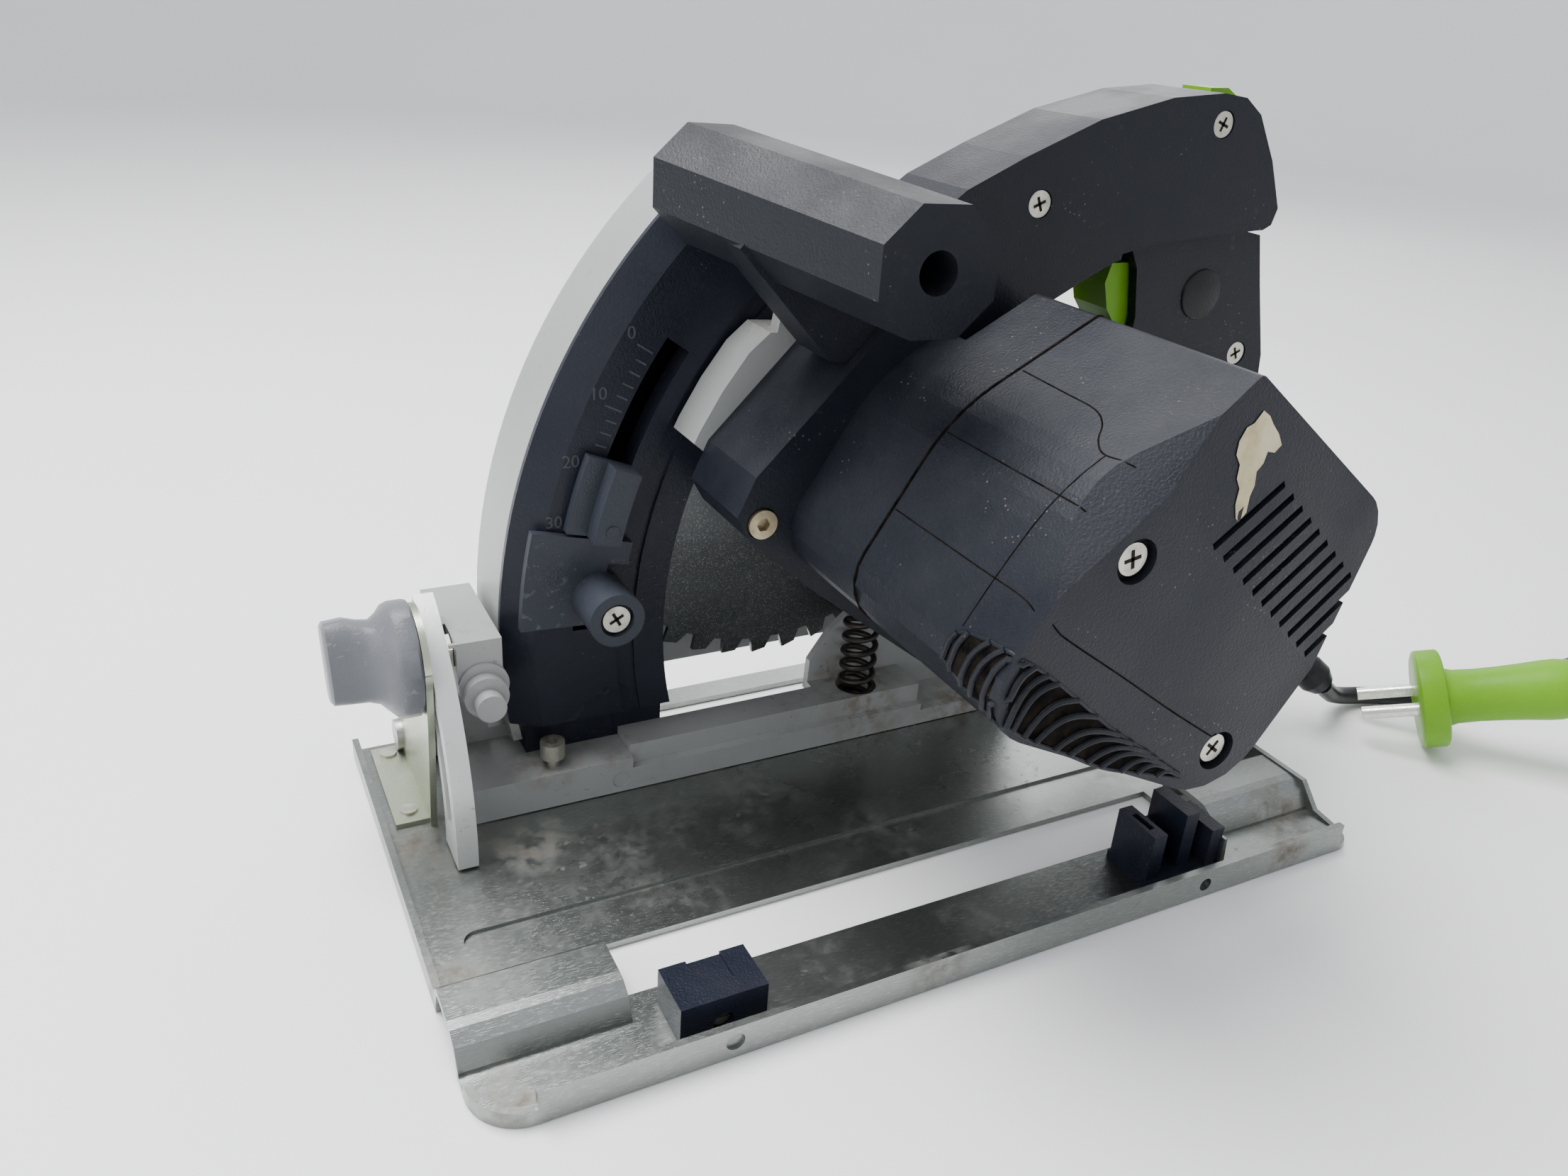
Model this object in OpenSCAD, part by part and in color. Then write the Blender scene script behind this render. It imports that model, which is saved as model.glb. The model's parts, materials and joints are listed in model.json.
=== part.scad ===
// Plunge-cut circular saw with bevel base, depth stop and mains lead.
// +X runs from the front of the saw to its rear, +Y to the blade side, +Z up.
// The origin is the middle of the base plate's underside.

/* [Base] */
// Length of the base plate along the cut
base_l = 288; // [280:1:292]
// Distance from the origin to the plate's near edge, on the motor side
base_near = 80; // [78:1:82]
// Distance from the origin to the plate's far edge, on the blade side
base_far = 88; // [87:1:90]
// Thickness of the base sheet
sheet = 2; // [1.5:0.1:2]

/* [Blade] */
// Radius of the saw blade at the tooth tips
blade_r = 80; // [77:0.5:80]
// Number of teeth
blade_teeth = 42; // [24:2:48]
// Thickness of the blade body
blade_t = 1.6; // [1.2:0.1:1.6]

/* [Motor] */
// Length of the motor housing along its shaft, without the end cap
motor_l = 78; // [76:1:80]
// Corner radius of the motor housing
motor_r = 14; // [10:1:16]

/* [Lead] */
// Diameter of the mains lead
lead_d = 6.8; // [6:0.2:7]

/* [Hidden] */
$fn = 64;
corner_steps = 5;
big = 400;
half_l = base_l / 2;

// Base sheet features
flange_h = 10;
front_flange_h = 6.5;
rear_flange_h = 11;
lip_h = 4.7;
near_corner_r = 14;
arch_end_x = 100;
slot_near = -52;
slot_far = -32;
blade_gap_near = 42;
blade_gap_far = 78;

// Bevel hinge, along X at the blade side
bevel_y = 82;
bevel_z = 9;
bevel_pin_r = 3.95;
bevel_bore_r = 4;
ear_r = 6.4;
rivet_x = -134;
bolt_y = 45;
bolt_z = 58;
bolt_r = 2.95;
quad_in = 54;
quad_out = 69.5;
quad_slot_in = 58.1;
quad_slot_out = 64.7;
quad_back = -120.4;
bolt_end = -118.7;
nut_r = 5.6;

// Plunge hinge, along Y at the rear
piv_x = 84;
piv_z = 55;
pin_r = 5.95;
bore_r = 6;
plunge_travel = 40.5;

// Arbor and motor axes, both along Y, with the saw raised
arb_x = -4;
arb_z = 108;
mot_x = 24;
mot_z = 118;
motor_y0 = -6 - motor_l;
cap_y = -103;
blade_y = 61.2;

// Guard
guard_r = 187;
guard_wall = 2.8;
half_y0 = 42;
half_y1 = 49.5;
cover_y1 = 75.3;
seat_z = 19;
frame_z = 14.5;
rail_z = 17.5;
fence_x = -90;
fence_y = 38.5;
fence_r = 1.95;
half_in_r = 136;
stop_slot_in = 157.6;
stop_slot_out = 165.9;
half_z = 27;
post_rr = 159.3;
post_a = 5.9;
post_r = 8.4;

// Handle
hand_y0 = 3;
hand_mid = 20;
leg_y0 = 8;
leg_y1 = 31;
hand_y1 = 34;

// Lead: the route's points, where it is not coiled
lead_r = lead_d / 2;
boot_from = [146, 13, 62];
lead_exit = [190, -21, 18.7];
route = [[190, -21, 18.7], [198.5, -18.5, 12.4], [206, -15.5, 7.8], [214.5, -13.5, 4.8], [225, -14.5, 3.6],
    [236, -21, 3.5], [248, -27.5, 3.5], [262, -30.5, 3.5], [280, -31, 3.5], [300, -31, 3.5],
    [320, -31, 3.5], [340, -31, 3.5], [360, -31, 3.5], [375, -31, 3.5], [388, -31, 3.5]];
tail_route = [[274.6, -96.6, 45.2], [281, -102.9, 47.8], [289, -110, 48], [298, -116.5, 43.5],
    [307.5, -122, 35], [318, -126.5, 24], [329, -129.5, 13.5], [341, -131.5, 6], [354, -133, 3.5],
    [367, -133.5, 3.5], [382, -133, 4.6], [398, -132, 8.5], [413.5, -129, 15], [426, -121.5, 22.5],
    [435.5, -110.5, 30], [439, -97, 36.5]];
coil_x = 400;
coil_y = -75;
coil_mid_r = 37.2;
coil_cols = 3;
coil_rows = 6;

// Plug, resting on the rim of its face
plug_at = [217.8, -40.7, 17.5];
plug_turn = -44.5;
plug_lift = 19;
plug_roll = -6;
plug_l = 86;

// ---------- helpers ----------

module cyl_x(y, z, r, x0, x1) {
    translate([x0, y, z])
        rotate([0, 90, 0])
            cylinder(r = r, h = x1 - x0);
}

module cyl_y(x, z, r, y0, y1) {
    translate([x, y1, z])
        rotate([90, 0, 0])
            cylinder(r = r, h = y1 - y0);
}

module cone_y(x, z, r0, r1, y0, y1) {
    translate([x, y1, z])
        rotate([90, 0, 0])
            cylinder(r1 = r1, r2 = r0, h = y1 - y0);
}

module block(x0, x1, y0, y1, z0, z1) {
    translate([x0, y0, z0])
        cube([x1 - x0, y1 - y0, z1 - z0]);
}

// A flat outline of x and z points, as thick as y0 to y1
module slab_y(points, y0, y1) {
    translate([0, y1, 0])
        rotate([90, 0, 0])
            linear_extrude(height = y1 - y0)
                polygon(points);
}

// A flat outline of y and z points, as thick as x0 to x1
module slab_x(points, x0, x1) {
    translate([x0, 0, 0])
        rotate([90, 0, 90])
            linear_extrude(height = x1 - x0)
                polygon(points);
}

module ring_y(x, z, r_in, r_out, y0, y1) {
    difference() {
        cyl_y(x, z, r_out, y0, y1);
        cyl_y(x, z, r_in, y0 - 1, y1 + 1);
    }
}

// The corner b between a and c, rounded by radius r
function fillet(a, b, c, r) =
    let (u = (a - b) / norm(a - b), v = (c - b) / norm(c - b), half = acos(u * v) / 2,
        o = b + (u + v) / norm(u + v) * r / sin(half), p = b + u * r / tan(half) - o,
        q = b + v * r / tan(half) - o)
            [for (i = [0:corner_steps])
                let (w = p * (corner_steps - i) + q * i)
                    o + w / norm(w) * r];

// A closed outline of [x, z, corner radius]
function rounded(pts) = [
    for (i = [0:len(pts) - 1], k = fillet(flat(pts, i - 1), flat(pts, i), flat(pts, i + 1), pts[i][2])) k
];

function flat(pts, i) =
    let (p = pts[(i + len(pts)) % len(pts)])
        [p[0], p[1]];

// A point at radius r about the plunge pivot, angle a above the forward direction
function about_pivot(r, a) = [piv_x - r * cos(a), piv_z + r * sin(a)];

// A wedge of x and z points from the plunge pivot, between two angles
module pivot_wedge(a0, a1, y0, y1) {
    slab_y(concat([[piv_x, piv_z]], [for (i = [0:4]) about_pivot(big, a0 + (a1 - a0) * i / 4)]), y0, y1);
}

// What the frame fills when the saw is fully plunged, seen from the raised saw
module frame_keepout(z_top, y0, y1) {
    translate([piv_x, 0, piv_z])
        rotate([0, plunge_travel, 0])
            translate([-piv_x, 0, -piv_z])
                block(-big, big, y0, y1, -big, z_top);
}

// ---------- sweep of a round tube along a smooth route ----------

function blend4(p0, p1, p2, p3, t) = 0.5 * ((2 * p1) + (p2 - p0) * t
    + (2 * p0 - 5 * p1 + 4 * p2 - p3) * t * t + (3 * p1 - p0 - 3 * p2 + p3) * t * t * t);

function smooth(pts, n) = concat([
    for (i = [0:len(pts) - 2], k = [0:n - 1])
        blend4(pts[max(i - 1, 0)], pts[i], pts[i + 1], pts[min(i + 2, len(pts) - 1)], k / n)
], [pts[len(pts) - 1]]);

function unit(v) = v / norm(v);

function heading(path, i) = unit(path[min(i + 1, len(path) - 1)] - path[max(i - 1, 0)]);

function tube_points(path, r, sides) = [
    for (i = [0:len(path) - 1], j = [0:sides - 1])
        let (d = heading(path, i), u = unit(cross(d, [0, 0, 1])), v = cross(u, d), a = 360 * j / sides)
            path[i] + r * (cos(a) * u + sin(a) * v)
];

function tube_faces(rings, sides) = concat(
    [[for (j = [0:sides - 1]) j]],
    [for (i = [0:rings - 2], j = [0:sides - 1])
        [i * sides + j, (i + 1) * sides + j, (i + 1) * sides + (j + 1) % sides]],
    [for (i = [0:rings - 2], j = [0:sides - 1])
        [i * sides + j, (i + 1) * sides + (j + 1) % sides, i * sides + (j + 1) % sides]],
    [[for (j = [0:sides - 1]) rings * sides - 1 - j]]
);

module tube(path, r, sides) {
    polyhedron(points = tube_points(path, r, sides), faces = tube_faces(len(path), sides), convexity = 6);
}

// ---------- base ----------

arch_out = [[-61.5, 0], [-61, 3], [-58, 8], [-54, 10.2], [-51, 10.5], [-39.5, 10.5], [-37, 8.5],
    [-34.5, 2], [-34.5, 0]];
arch_in = [[-59.5, -1], [-59.2, 2.2], [-56.6, 6.8], [-53.4, 8.4], [-51, 8.6], [-40.4, 8.6],
    [-38.6, 7.2], [-36.6, 1.8], [-36.6, -1]];

module near_corner_lip() {
    difference() {
        translate([-half_l + near_corner_r, -base_near + near_corner_r, 0])
            cylinder(r = near_corner_r, h = lip_h);
        translate([-half_l + near_corner_r, -base_near + near_corner_r, -1])
            cylinder(r = near_corner_r - sheet, h = lip_h + 2);
        block(-half_l + near_corner_r, half_l, -base_near - 1, 0, -1, lip_h + 1);
        block(-half_l - 1, half_l, -base_near + near_corner_r, 0, -1, lip_h + 1);
    }
}

module base_plate() {
    rear_flange = [[-72, 0], [-72, 2.4], [-64, 3.5], [-57, rear_flange_h], [base_far, rear_flange_h],
        [base_far, 0]];
    color("Silver")
        difference() {
            union() {
                block(-half_l, half_l, -base_near, base_far, 0, sheet);
                block(-half_l + near_corner_r, half_l - 8, -base_near, -base_near + sheet, 0, flange_h);
                block(-half_l, -half_l + sheet, -37, base_far, 0, front_flange_h);
                near_corner_lip();
                slab_x(rear_flange, half_l - sheet, half_l);
                slab_x(arch_out, -half_l, -arch_end_x);
                slab_x(arch_out, arch_end_x, half_l - sheet / 2);
            }
            slab_x(arch_in, -half_l - 1, -arch_end_x + 1);
            slab_x(arch_in, arch_end_x - 1, half_l + 1);
            block(-arch_end_x, arch_end_x - 4, slot_near, slot_far, -1, sheet + 1);
            block(-106, 82, blade_gap_near, blade_gap_far, -1, sheet + 1);
            // rounded near corners
            difference() {
                translate([-half_l - 1, -base_near - 1, -1])
                    cube([near_corner_r + 1, near_corner_r + 1, 20]);
                translate([-half_l + near_corner_r, -base_near + near_corner_r, -2])
                    cylinder(r = near_corner_r, h = 30);
            }
            difference() {
                block(half_l - 8, half_l + 1, -base_near - 1, -base_near + 8, -1, 20);
                translate([half_l - 8, -base_near + 8, -2])
                    cylinder(r = 8, h = 30);
            }
            // pressed bead
            block(-128, 132, -21, -13, 1, sheet + 1);
            for (x = [-128, 132])
                translate([x, -17, 1])
                    cylinder(r = 4, h = 3);
            // screw access dimple and slotted hole in the near flange
            translate([-80, -base_near - 1, 5.2])
                rotate([-90, 0, 0])
                    cylinder(r = 2.6, h = 2);
            translate([77, -base_near - 1, 4.6])
                rotate([-90, 0, 0])
                    cylinder(r = 2.2, h = 4);
        }
}

module front_bracket() {
    outline = [[38, 3.5], [38, 2], [base_far - 0.5, 2], [base_far - 0.5, 15], [76, 17], [62, 34],
        [61, 60], [29, 60], [31, 40]];
    color("YellowGreen")
        difference() {
            union() {
                slab_x(outline, -129, -127);
                cyl_x(bolt_y, bolt_z, 16, -129, -127);
                block(-139, -127, 40, 84, sheet, 3.5);
            }
            cyl_x(bolt_y, bolt_z, 3.05, -130, -126);
            cyl_x(bevel_y, bevel_z, bevel_pin_r, -130, -126);
            for (y = [46, 79.5])
                translate([rivet_x, y, 1])
                    cylinder(r = 1.5, h = 4);
        }
}

module bracket_rivets() {
    color("Silver")
        for (y = [46, 79.5])
            translate([rivet_x, y, sheet])
                union() {
                    cylinder(r = 1.5, h = 2);
                    translate([0, 0, 1.5])
                        cylinder(r = 2.6, h = 0.9);
                }
}

module rear_bracket() {
    outline = [[73.5, 2], [base_far - 0.5, 2], [base_far - 0.5, 12], [85, 16], [79, 16], [73.5, 12]];
    color("YellowGreen")
        difference() {
            union() {
                slab_x(outline, 113, 115);
                block(113, 129, 74, base_far - 0.5, sheet, 3.5);
            }
            cyl_x(bevel_y, bevel_z, bevel_pin_r, 112, 116);
        }
}

module hinge_pin_front() {
    color("Gray")
        union() {
            cyl_x(bevel_y, bevel_z, bevel_pin_r, -129, -113);
            cyl_x(bevel_y, bevel_z, 5.2, -131, -129);
        }
}

module hinge_pin_rear() {
    color("Gray")
        union() {
            cyl_x(bevel_y, bevel_z, bevel_pin_r, 99, 115);
            cyl_x(bevel_y, bevel_z, 5.2, 115, 117);
        }
}

module clamp_nut() {
    color("Silver")
        difference() {
            translate([quad_back, bolt_y, bolt_z])
                rotate([0, 90, 0])
                    cylinder(r = nut_r, h = bolt_end - quad_back, $fn = 6);
            cyl_x(bolt_y, bolt_z, bolt_r, -121, -118);
        }
}

module front_jaw() {
    color("DarkSlateBlue")
        difference() {
            block(-92, -68, -73, -57.5, sheet, 13.5);
            block(-84.5, -75, -67, -57, 12.5, 14);
            translate([-80, -74, 5.2])
                rotate([-90, 0, 0])
                    cylinder(r = 2.9, h = 9);
        }
}

module front_jaw_screw() {
    color("Silver")
        difference() {
            translate([-80, -71, 5.2])
                rotate([-90, 0, 0])
                    cylinder(r = 2.6, h = 6);
            block(-83, -77, -72, -70, 4.8, 5.6);
        }
}

module rear_jaw() {
    color("DimGray")
        difference() {
            union() {
                block(60, 88, -73, -55, sheet, 5);
                block(60, 65, -72, -56, sheet, 21);
                block(74, 79, -70, -55, sheet, 24);
                block(64, 76, -59, -56, sheet, 15);
                block(83, 88, -73, -58, sheet, 18);
                block(78, 84, -66, -63, sheet, 12);
            }
            block(61.5, 63.5, -68, -60, 12, 22);
        }
}

module jaw_spring() {
    color("Gainsboro")
        slab_y([[88.3, sheet], [97, sheet], [97, 3], [90.5, 3.2], [89.3, 14], [88.3, 14]], -74, -64);
}

// ---------- bevel clamp ----------

module bevel_bolt() {
    color("Silver")
        cyl_x(bolt_y, bolt_z, bolt_r, -146, bolt_end);
}

module bevel_knob() {
    color("SlateGray")
        difference() {
            union() {
                cyl_x(bolt_y, bolt_z, 18, -134.5, -129.4);
                translate([-140, bolt_y, bolt_z])
                    rotate([0, 90, 0])
                        cylinder(r1 = 13, r2 = 18, h = 5.5);
                intersection() {
                    cyl_x(bolt_y, bolt_z, 16.5, -153.5, -135);
                    translate([-154, bolt_y, bolt_z])
                        rotate([-20, 0, 0])
                            translate([0, -7.5, -9.5])
                                cube([20, 15, 24]);
                }
            }
            cyl_x(bolt_y, bolt_z, bolt_r, -146, -128);
        }
}

// ---------- swivel frame ----------

module swivel_frame() {
    cheek = [[8, 14], [8.5, 26], [16, 37], [30, 49], [40, 52], [70, 66], [98, 66], [98, 2.3], [46, 2.3]];
    color("LightGray")
        difference() {
            union() {
                block(-118, -65, 33, 60, 2.3, frame_z);
                block(-65, -48, 36, 58, 2.3, frame_z);
                block(-118, -98, 60, 78, 2.3, seat_z);
                block(-65, 46, 33, 37, 2.3, 10.5);
                block(-65, 14, 36, 39, 2.3, rail_z);
                block(-65, 10, 38, 48, 14.6, rail_z);
                block(10, 98, 33, 51.5, 2.3, 5);
                block(8, 46, 36, 52, 4, rail_z);
                block(46, 76, 33, 51.5, 2.3, 8);
                slab_y(cheek, 51.5, 54.5);
                block(72, 98, 42.5, 51.5, 2.3, 56);
                cyl_y(piv_x, piv_z, 14, 42.5, 51.5);
                block(86, 98, 54.5, 78, 2.3, 16);
                block(-125.5, -98, 74, 78, 2.8, 12);
                cyl_x(bevel_y, bevel_z, ear_r, -125.5, -113);
                cyl_x(bevel_y, bevel_z, ear_r, 99, 112);
                block(98, 112, 72, 78, 2.8, 14);
            }
            cyl_x(bevel_y, bevel_z, bevel_bore_r, -127, -112);
            cyl_x(bevel_y, bevel_z, bevel_bore_r, 98.5, 113);
            cyl_y(piv_x, piv_z, bore_r, 41, 56);
            // well for the return spring
            translate([spring_x, spring_y, spring_z0 - 1])
                cylinder(r = 7.4, h = 20);
            translate([fence_x, fence_y, 6])
                cylinder(r = fence_r, h = 10);
            // plugged bore in the near face
            cyl_y(-69, 7, 3, 32, 33.5);
        }
}

module front_quadrant() {
    color("LightGray")
        difference() {
            cyl_x(bevel_y, bevel_z, quad_out, -126.5, quad_back - 0.1);
            cyl_x(bevel_y, bevel_z, quad_in, -127, -120);
            // clear of the plate
            block(-128, -119, -big, big, -big, 2.8);
            // rear of the sector
            slab_x([[bevel_y, bevel_z], [bevel_y - 38, bevel_z + 90], [big, big], [big, -60], [bevel_y, -60]],
                -127, -120);
            // curved slot for the clamp bolt
            intersection() {
                difference() {
                    cyl_x(bevel_y, bevel_z, quad_slot_out, -128, -119);
                    cyl_x(bevel_y, bevel_z, quad_slot_in, -129, -118);
                }
                slab_x([[bevel_y, bevel_z], [bevel_y - 100, bevel_z + 100 * tan(4)],
                    [bevel_y - 100, bevel_z + 100 * tan(57)]], -128, -119);
            }
        }
}

module front_casting() {
    color("LightGray")
        difference() {
            union() {
                block(quad_back - 0.1, -105, 37, 76, 50, 64);
                cyl_y(-111, 49, 7.6, 36, 60);
                cyl_y(-111, 47, 6.6, 32.5, 40);
                cyl_y(-110.8, 45.6, 4.4, 28, 33);
                block(quad_back - 0.1, -105, 60, 76, seat_z, 51);
            }
            // rests on the guard's rim
            cyl_y(piv_x, piv_z, guard_r + 0.05, 27, 80);
            // path of the bolt end and nut as the saw tilts
            intersection() {
                difference() {
                    cyl_x(bevel_y, bevel_z, quad_slot_out + nut_r, -122, bolt_end + 0.3);
                    cyl_x(bevel_y, bevel_z, quad_slot_in - nut_r, -123, -118);
                }
                slab_x([[bevel_y, bevel_z], [bevel_y - 100, bevel_z],
                    [bevel_y - 100, bevel_z + 100 * tan(60.5)]], -122, -118);
            }
        }
}

// The guard's outline above its seat, as x and z points that the rim circle then trims
guard_top = [[-130, seat_z], [100, seat_z], [104, 62], [94, 122], [70, 163], [40, 187], [-4, 195],
    [-38, 200], [-60, 225], [-150, 225]];
cavity_top = [[-130, 0], [97, 0], [101, 62], [91, 121], [68, 160.5], [39, 184], [-4, 192], [-40, 196.8],
    [-62, 222], [-150, 222]];

module guard_half() {
    color("MidnightBlue")
        difference() {
            union() {
                difference() {
                    union() {
                        cyl_y(piv_x, piv_z, guard_r, 47.5, half_y1);
                        cone_y(piv_x, piv_z, guard_r - 9, guard_r, half_y0, 47.5);
                    }
                    cyl_y(piv_x, piv_z, half_in_r, 40, 51);
                    block(-big, big, 40, 51, -big, half_z);
                    block(piv_x - 40, big, 40, 51, -big, big);
                    pivot_wedge(50, 200, 40, 51);
                }
                // foot on the frame
                block(-96, -50, 48, 58, frame_z, half_z + 12);
            }
            // slot for the depth stop
            intersection() {
                ring_y(piv_x, piv_z, stop_slot_in, stop_slot_out, 40, 59);
                pivot_wedge(1.5, 34.5, 40, 59);
            }
            // groove beside the slot
            intersection() {
                ring_y(piv_x, piv_z, 146, 152, 41, 43.2);
                pivot_wedge(-12, 45, 40, 51);
            }
        }
}

module guard_cover() {
    color("LightGray")
        difference() {
            intersection() {
                cyl_y(piv_x, piv_z, guard_r, half_y1, cover_y1);
                slab_y(guard_top, half_y1, cover_y1);
            }
            // blade chamber, open towards the motor and below
            intersection() {
                cyl_y(piv_x, piv_z, guard_r - guard_wall, half_y1 - 1, cover_y1 - guard_wall);
                slab_y(cavity_top, half_y1 - 1, cover_y1 - guard_wall);
            }
            block(-50, 110, half_y1 - 1, cover_y1 + 1, 0, 24);
            // clearance around the pivot pillar
            block(66, 110, half_y1 - 1, 55, 0, 72);
        }
}

module fence_screw() {
    color("Silver")
        difference() {
            union() {
                translate([fence_x, fence_y, 8])
                    cylinder(r = fence_r, h = 11);
                translate([fence_x, fence_y, 18])
                    cylinder(r = 3.9, h = 5.4);
            }
            translate([fence_x, fence_y, 20.4])
                cylinder(r = 1.9, h = 4, $fn = 6);
        }
}

module plunge_pin() {
    color("Gray")
        cyl_y(piv_x, piv_z, pin_r, 24.5, 54);
}

spring_x = 24;
spring_y = 44;
spring_turns = 9;
spring_z0 = 6.2;
spring_z1 = 57.2;

module return_spring() {
    steps = 12;
    total = spring_turns * steps;
    rise = (spring_z1 - spring_z0) / total;
    coil_r = 5.6;
    helix = [for (i = [0:total])
        let (a = 360 * i / steps)
            [spring_x + coil_r * cos(a), spring_y + coil_r * sin(a), spring_z0 + rise * i]];
    color("Black")
        tube(helix, 1.1, 6);
}

// ---------- depth stop ----------

module depth_slider() {
    color("DarkSlateGray")
        union() {
            intersection() {
                ring_y(piv_x, piv_z, 158, 183, 38.6, 41.7);
                pivot_wedge(2.7, 12.6, 38, 42);
            }
            intersection() {
                ring_y(piv_x, piv_z, 151.5, 158.5, 38.6, 41.7);
                pivot_wedge(9.9, 12.6, 38, 42);
            }
            intersection() {
                ring_y(piv_x, piv_z, stop_slot_in + 0.2, stop_slot_out - 0.2, 41.7, 49);
                pivot_wedge(4, 11, 41, 50);
            }
        }
}

module depth_post() {
    c = about_pivot(post_rr, post_a);
    color("DarkSlateGray")
        difference() {
            cyl_y(c[0], c[1], post_r, 22, 38.6);
            cyl_y(c[0], c[1], 5.2, 21, 25);
            cyl_y(c[0], c[1], 1.6, 24, 36);
        }
}

module post_screw() {
    c = about_pivot(post_rr, post_a);
    color("Silver")
        union() {
            cyl_y(c[0], c[1], 1.6, 25.5, 36);
            cyl_y(c[0], c[1], 4.2, 23, 25);
            cyl_y(c[0], c[1], 1.6, 24.9, 25.6);
        }
}

lever_pivot = about_pivot(162, 14.5);

module release_lever() {
    color("SlateGray")
        union() {
            intersection() {
                ring_y(piv_x, piv_z, 158.5, 173, 37.8, 41.5);
                pivot_wedge(13, 21, 37, 42);
            }
            intersection() {
                ring_y(piv_x, piv_z, 158.5, 166.8, 31, 38);
                pivot_wedge(13, 21, 30, 42);
            }
            // head of its pivot pin
            cyl_y(lever_pivot[0], lever_pivot[1], 2, 30.5, 32);
        }
}

// ---------- plunging head ----------

screw_x = -43.5;
screw_z = 109.5;

// Points that the gear cover shares with the handle
joint_a = [8, 181];
joint_b = [30, 173];
joint_c = [50, 163];
joint_d = [62, 151];
joint_e = [84, 137];
joint_f = [90, 116];
joint_g = [86, 94];

cover_outline = [[-47, 105], [-51, 112], [-46, 123], [-19, 151], joint_a, joint_b, joint_c, joint_d,
    joint_e, joint_f, joint_g, [66, 68], [40, 54], [19, 52], [-28, 88]];
arm_outline = [[-47, 104], [-52.5, 108], [-54, 114.4], [-48.7, 125.6], [-42.1, 136.9],
    [-34.4, 147.5], [-28, 153], [-19, 152.5], [8, 178],
    [30, 171], [50, 160], [62, 148], [82, 134], [88, 116], [86, 94], [97, 60], [84, 41], [66, 48],
    [19, 60], [-20, 92]];

module gear_arm() {
    color("LightGray")
        difference() {
            union() {
                difference() {
                    slab_y(arm_outline, 26, 41.5);
                    frame_keepout(18.8, 25, 42);
                }
                cyl_y(arb_x, arb_z, 17.5, 41, 52);
                cyl_y(piv_x, piv_z, 15, 26, 41.5);
                // rim lug
                slab_y([[-12, 149], [-17, 157], [-25, 157.4], [-26, 152]], 26, 31);
                // seat on the return spring, clear of the frame at full depth
                difference() {
                    block(14, 34, 36, 51, spring_z1 + 1.7, 78);
                    frame_keepout(18.8, 35, 52);
                }
            }
            cyl_y(piv_x, piv_z, bore_r, 24, 43);
            cyl_y(arb_x, arb_z, 8.05, 24, 53);
            // gear chamber
            cyl_y(arb_x, arb_z, 12, 25, 30);
            // clearance round the return spring
            translate([spring_x, spring_y, spring_z0])
                cylinder(r = 7.4, h = spring_z1 + 1.6 - spring_z0);
        }
}

module gear_cover() {
    color("MidnightBlue")
        difference() {
            slab_y(cover_outline, -6, 26);
            cyl_y(arb_x, arb_z, 26, -1, 27);
            cyl_y(mot_x, mot_z, 15, -1, 27);
            cyl_y(mot_x, mot_z, 4.05, -7, 0);
            cyl_y(screw_x, screw_z, 2.2, -7, 10);
            cyl_y(screw_x, screw_z, 4.6, -7, -3.5);
            cyl_y(piv_x, piv_z, 16, 22, 27);
        }
}

module cover_screw() {
    color("GoldenRod")
        difference() {
            union() {
                cyl_y(screw_x, screw_z, 2.2, -3.5, 10);
                cyl_y(screw_x, screw_z, 4.2, -7, -3.5);
            }
            translate([screw_x, -5, screw_z])
                rotate([90, 0, 0])
                    cylinder(r = 2, h = 3, $fn = 6);
        }
}

// The motor's outline: lower front, upper front, ridge, rear and lower rear corners
motor_outline = [[-40.7, 101.3, motor_r], [-10.9, 149, 50], [30.3, 171.3, 2], [88, 131, 9],
    [41, 61, 20]];
motor_ridge = [8.5, 159.5];

module motor_housing() {
    color("MidnightBlue")
        difference() {
            slab_y(rounded(motor_outline), motor_y0, -6);
            cyl_y(mot_x, mot_z, motor_bore, motor_y0 - 1, -12);
            cyl_y(mot_x, mot_z, 4.05, -13, -5);
            // lower shoulder beside the handle
            slab_y([motor_ridge, [-8, 180], [60, 200], [110, 140], [76, 134]], -16, -5);
        }
}

module end_cap() {
    color("MidnightBlue")
        difference() {
            slab_y(rounded(motor_outline), cap_y, motor_y0);
            cyl_y(mot_x, mot_z, motor_bore, -94, motor_y0 + 1);
            cyl_y(mot_x, mot_z, 4.05, -100, motor_y0 + 1);
            // the face leans back towards the rear
            translate([14.5, cap_y, 137.6])
                rotate([0, 40.5, 0])
                    rotate([-11.5, 0, 0])
                        block(-big, big, -30, 0, 0, big);
            // and slopes off at the upper front corner
            translate([-22, cap_y, 130])
                rotate([0, -38.3, 0])
                    rotate([-60, 0, 0])
                        block(-60, 120, -60, 0, 0, 60);
            // outlet slots
            for (i = [0:10])
                translate([31 + i * 4.1, -97.5, 140 - i * 3.5])
                    rotate([0, -24, 0])
                        block(-13, 13, -10, 2.5, -0.9, 0.9);
            for (p = cap_screw_at)
                cyl_y(p[0], p[1], 5.4, -104, -100);
            for (p = cap_screw_at)
                cyl_y(p[0], p[1], 2, -101, -96);
        }
}

motor_bore = 41.2;
cap_screw_at = [[-3, 134.6], [37, 77]];

module cap_screws() {
    color("Silver")
        for (p = cap_screw_at)
            union() {
                cyl_y(p[0], p[1], 3.9, -101.6, -100);
                cyl_y(p[0], p[1], 2, -100, -96);
            }
}

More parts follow.
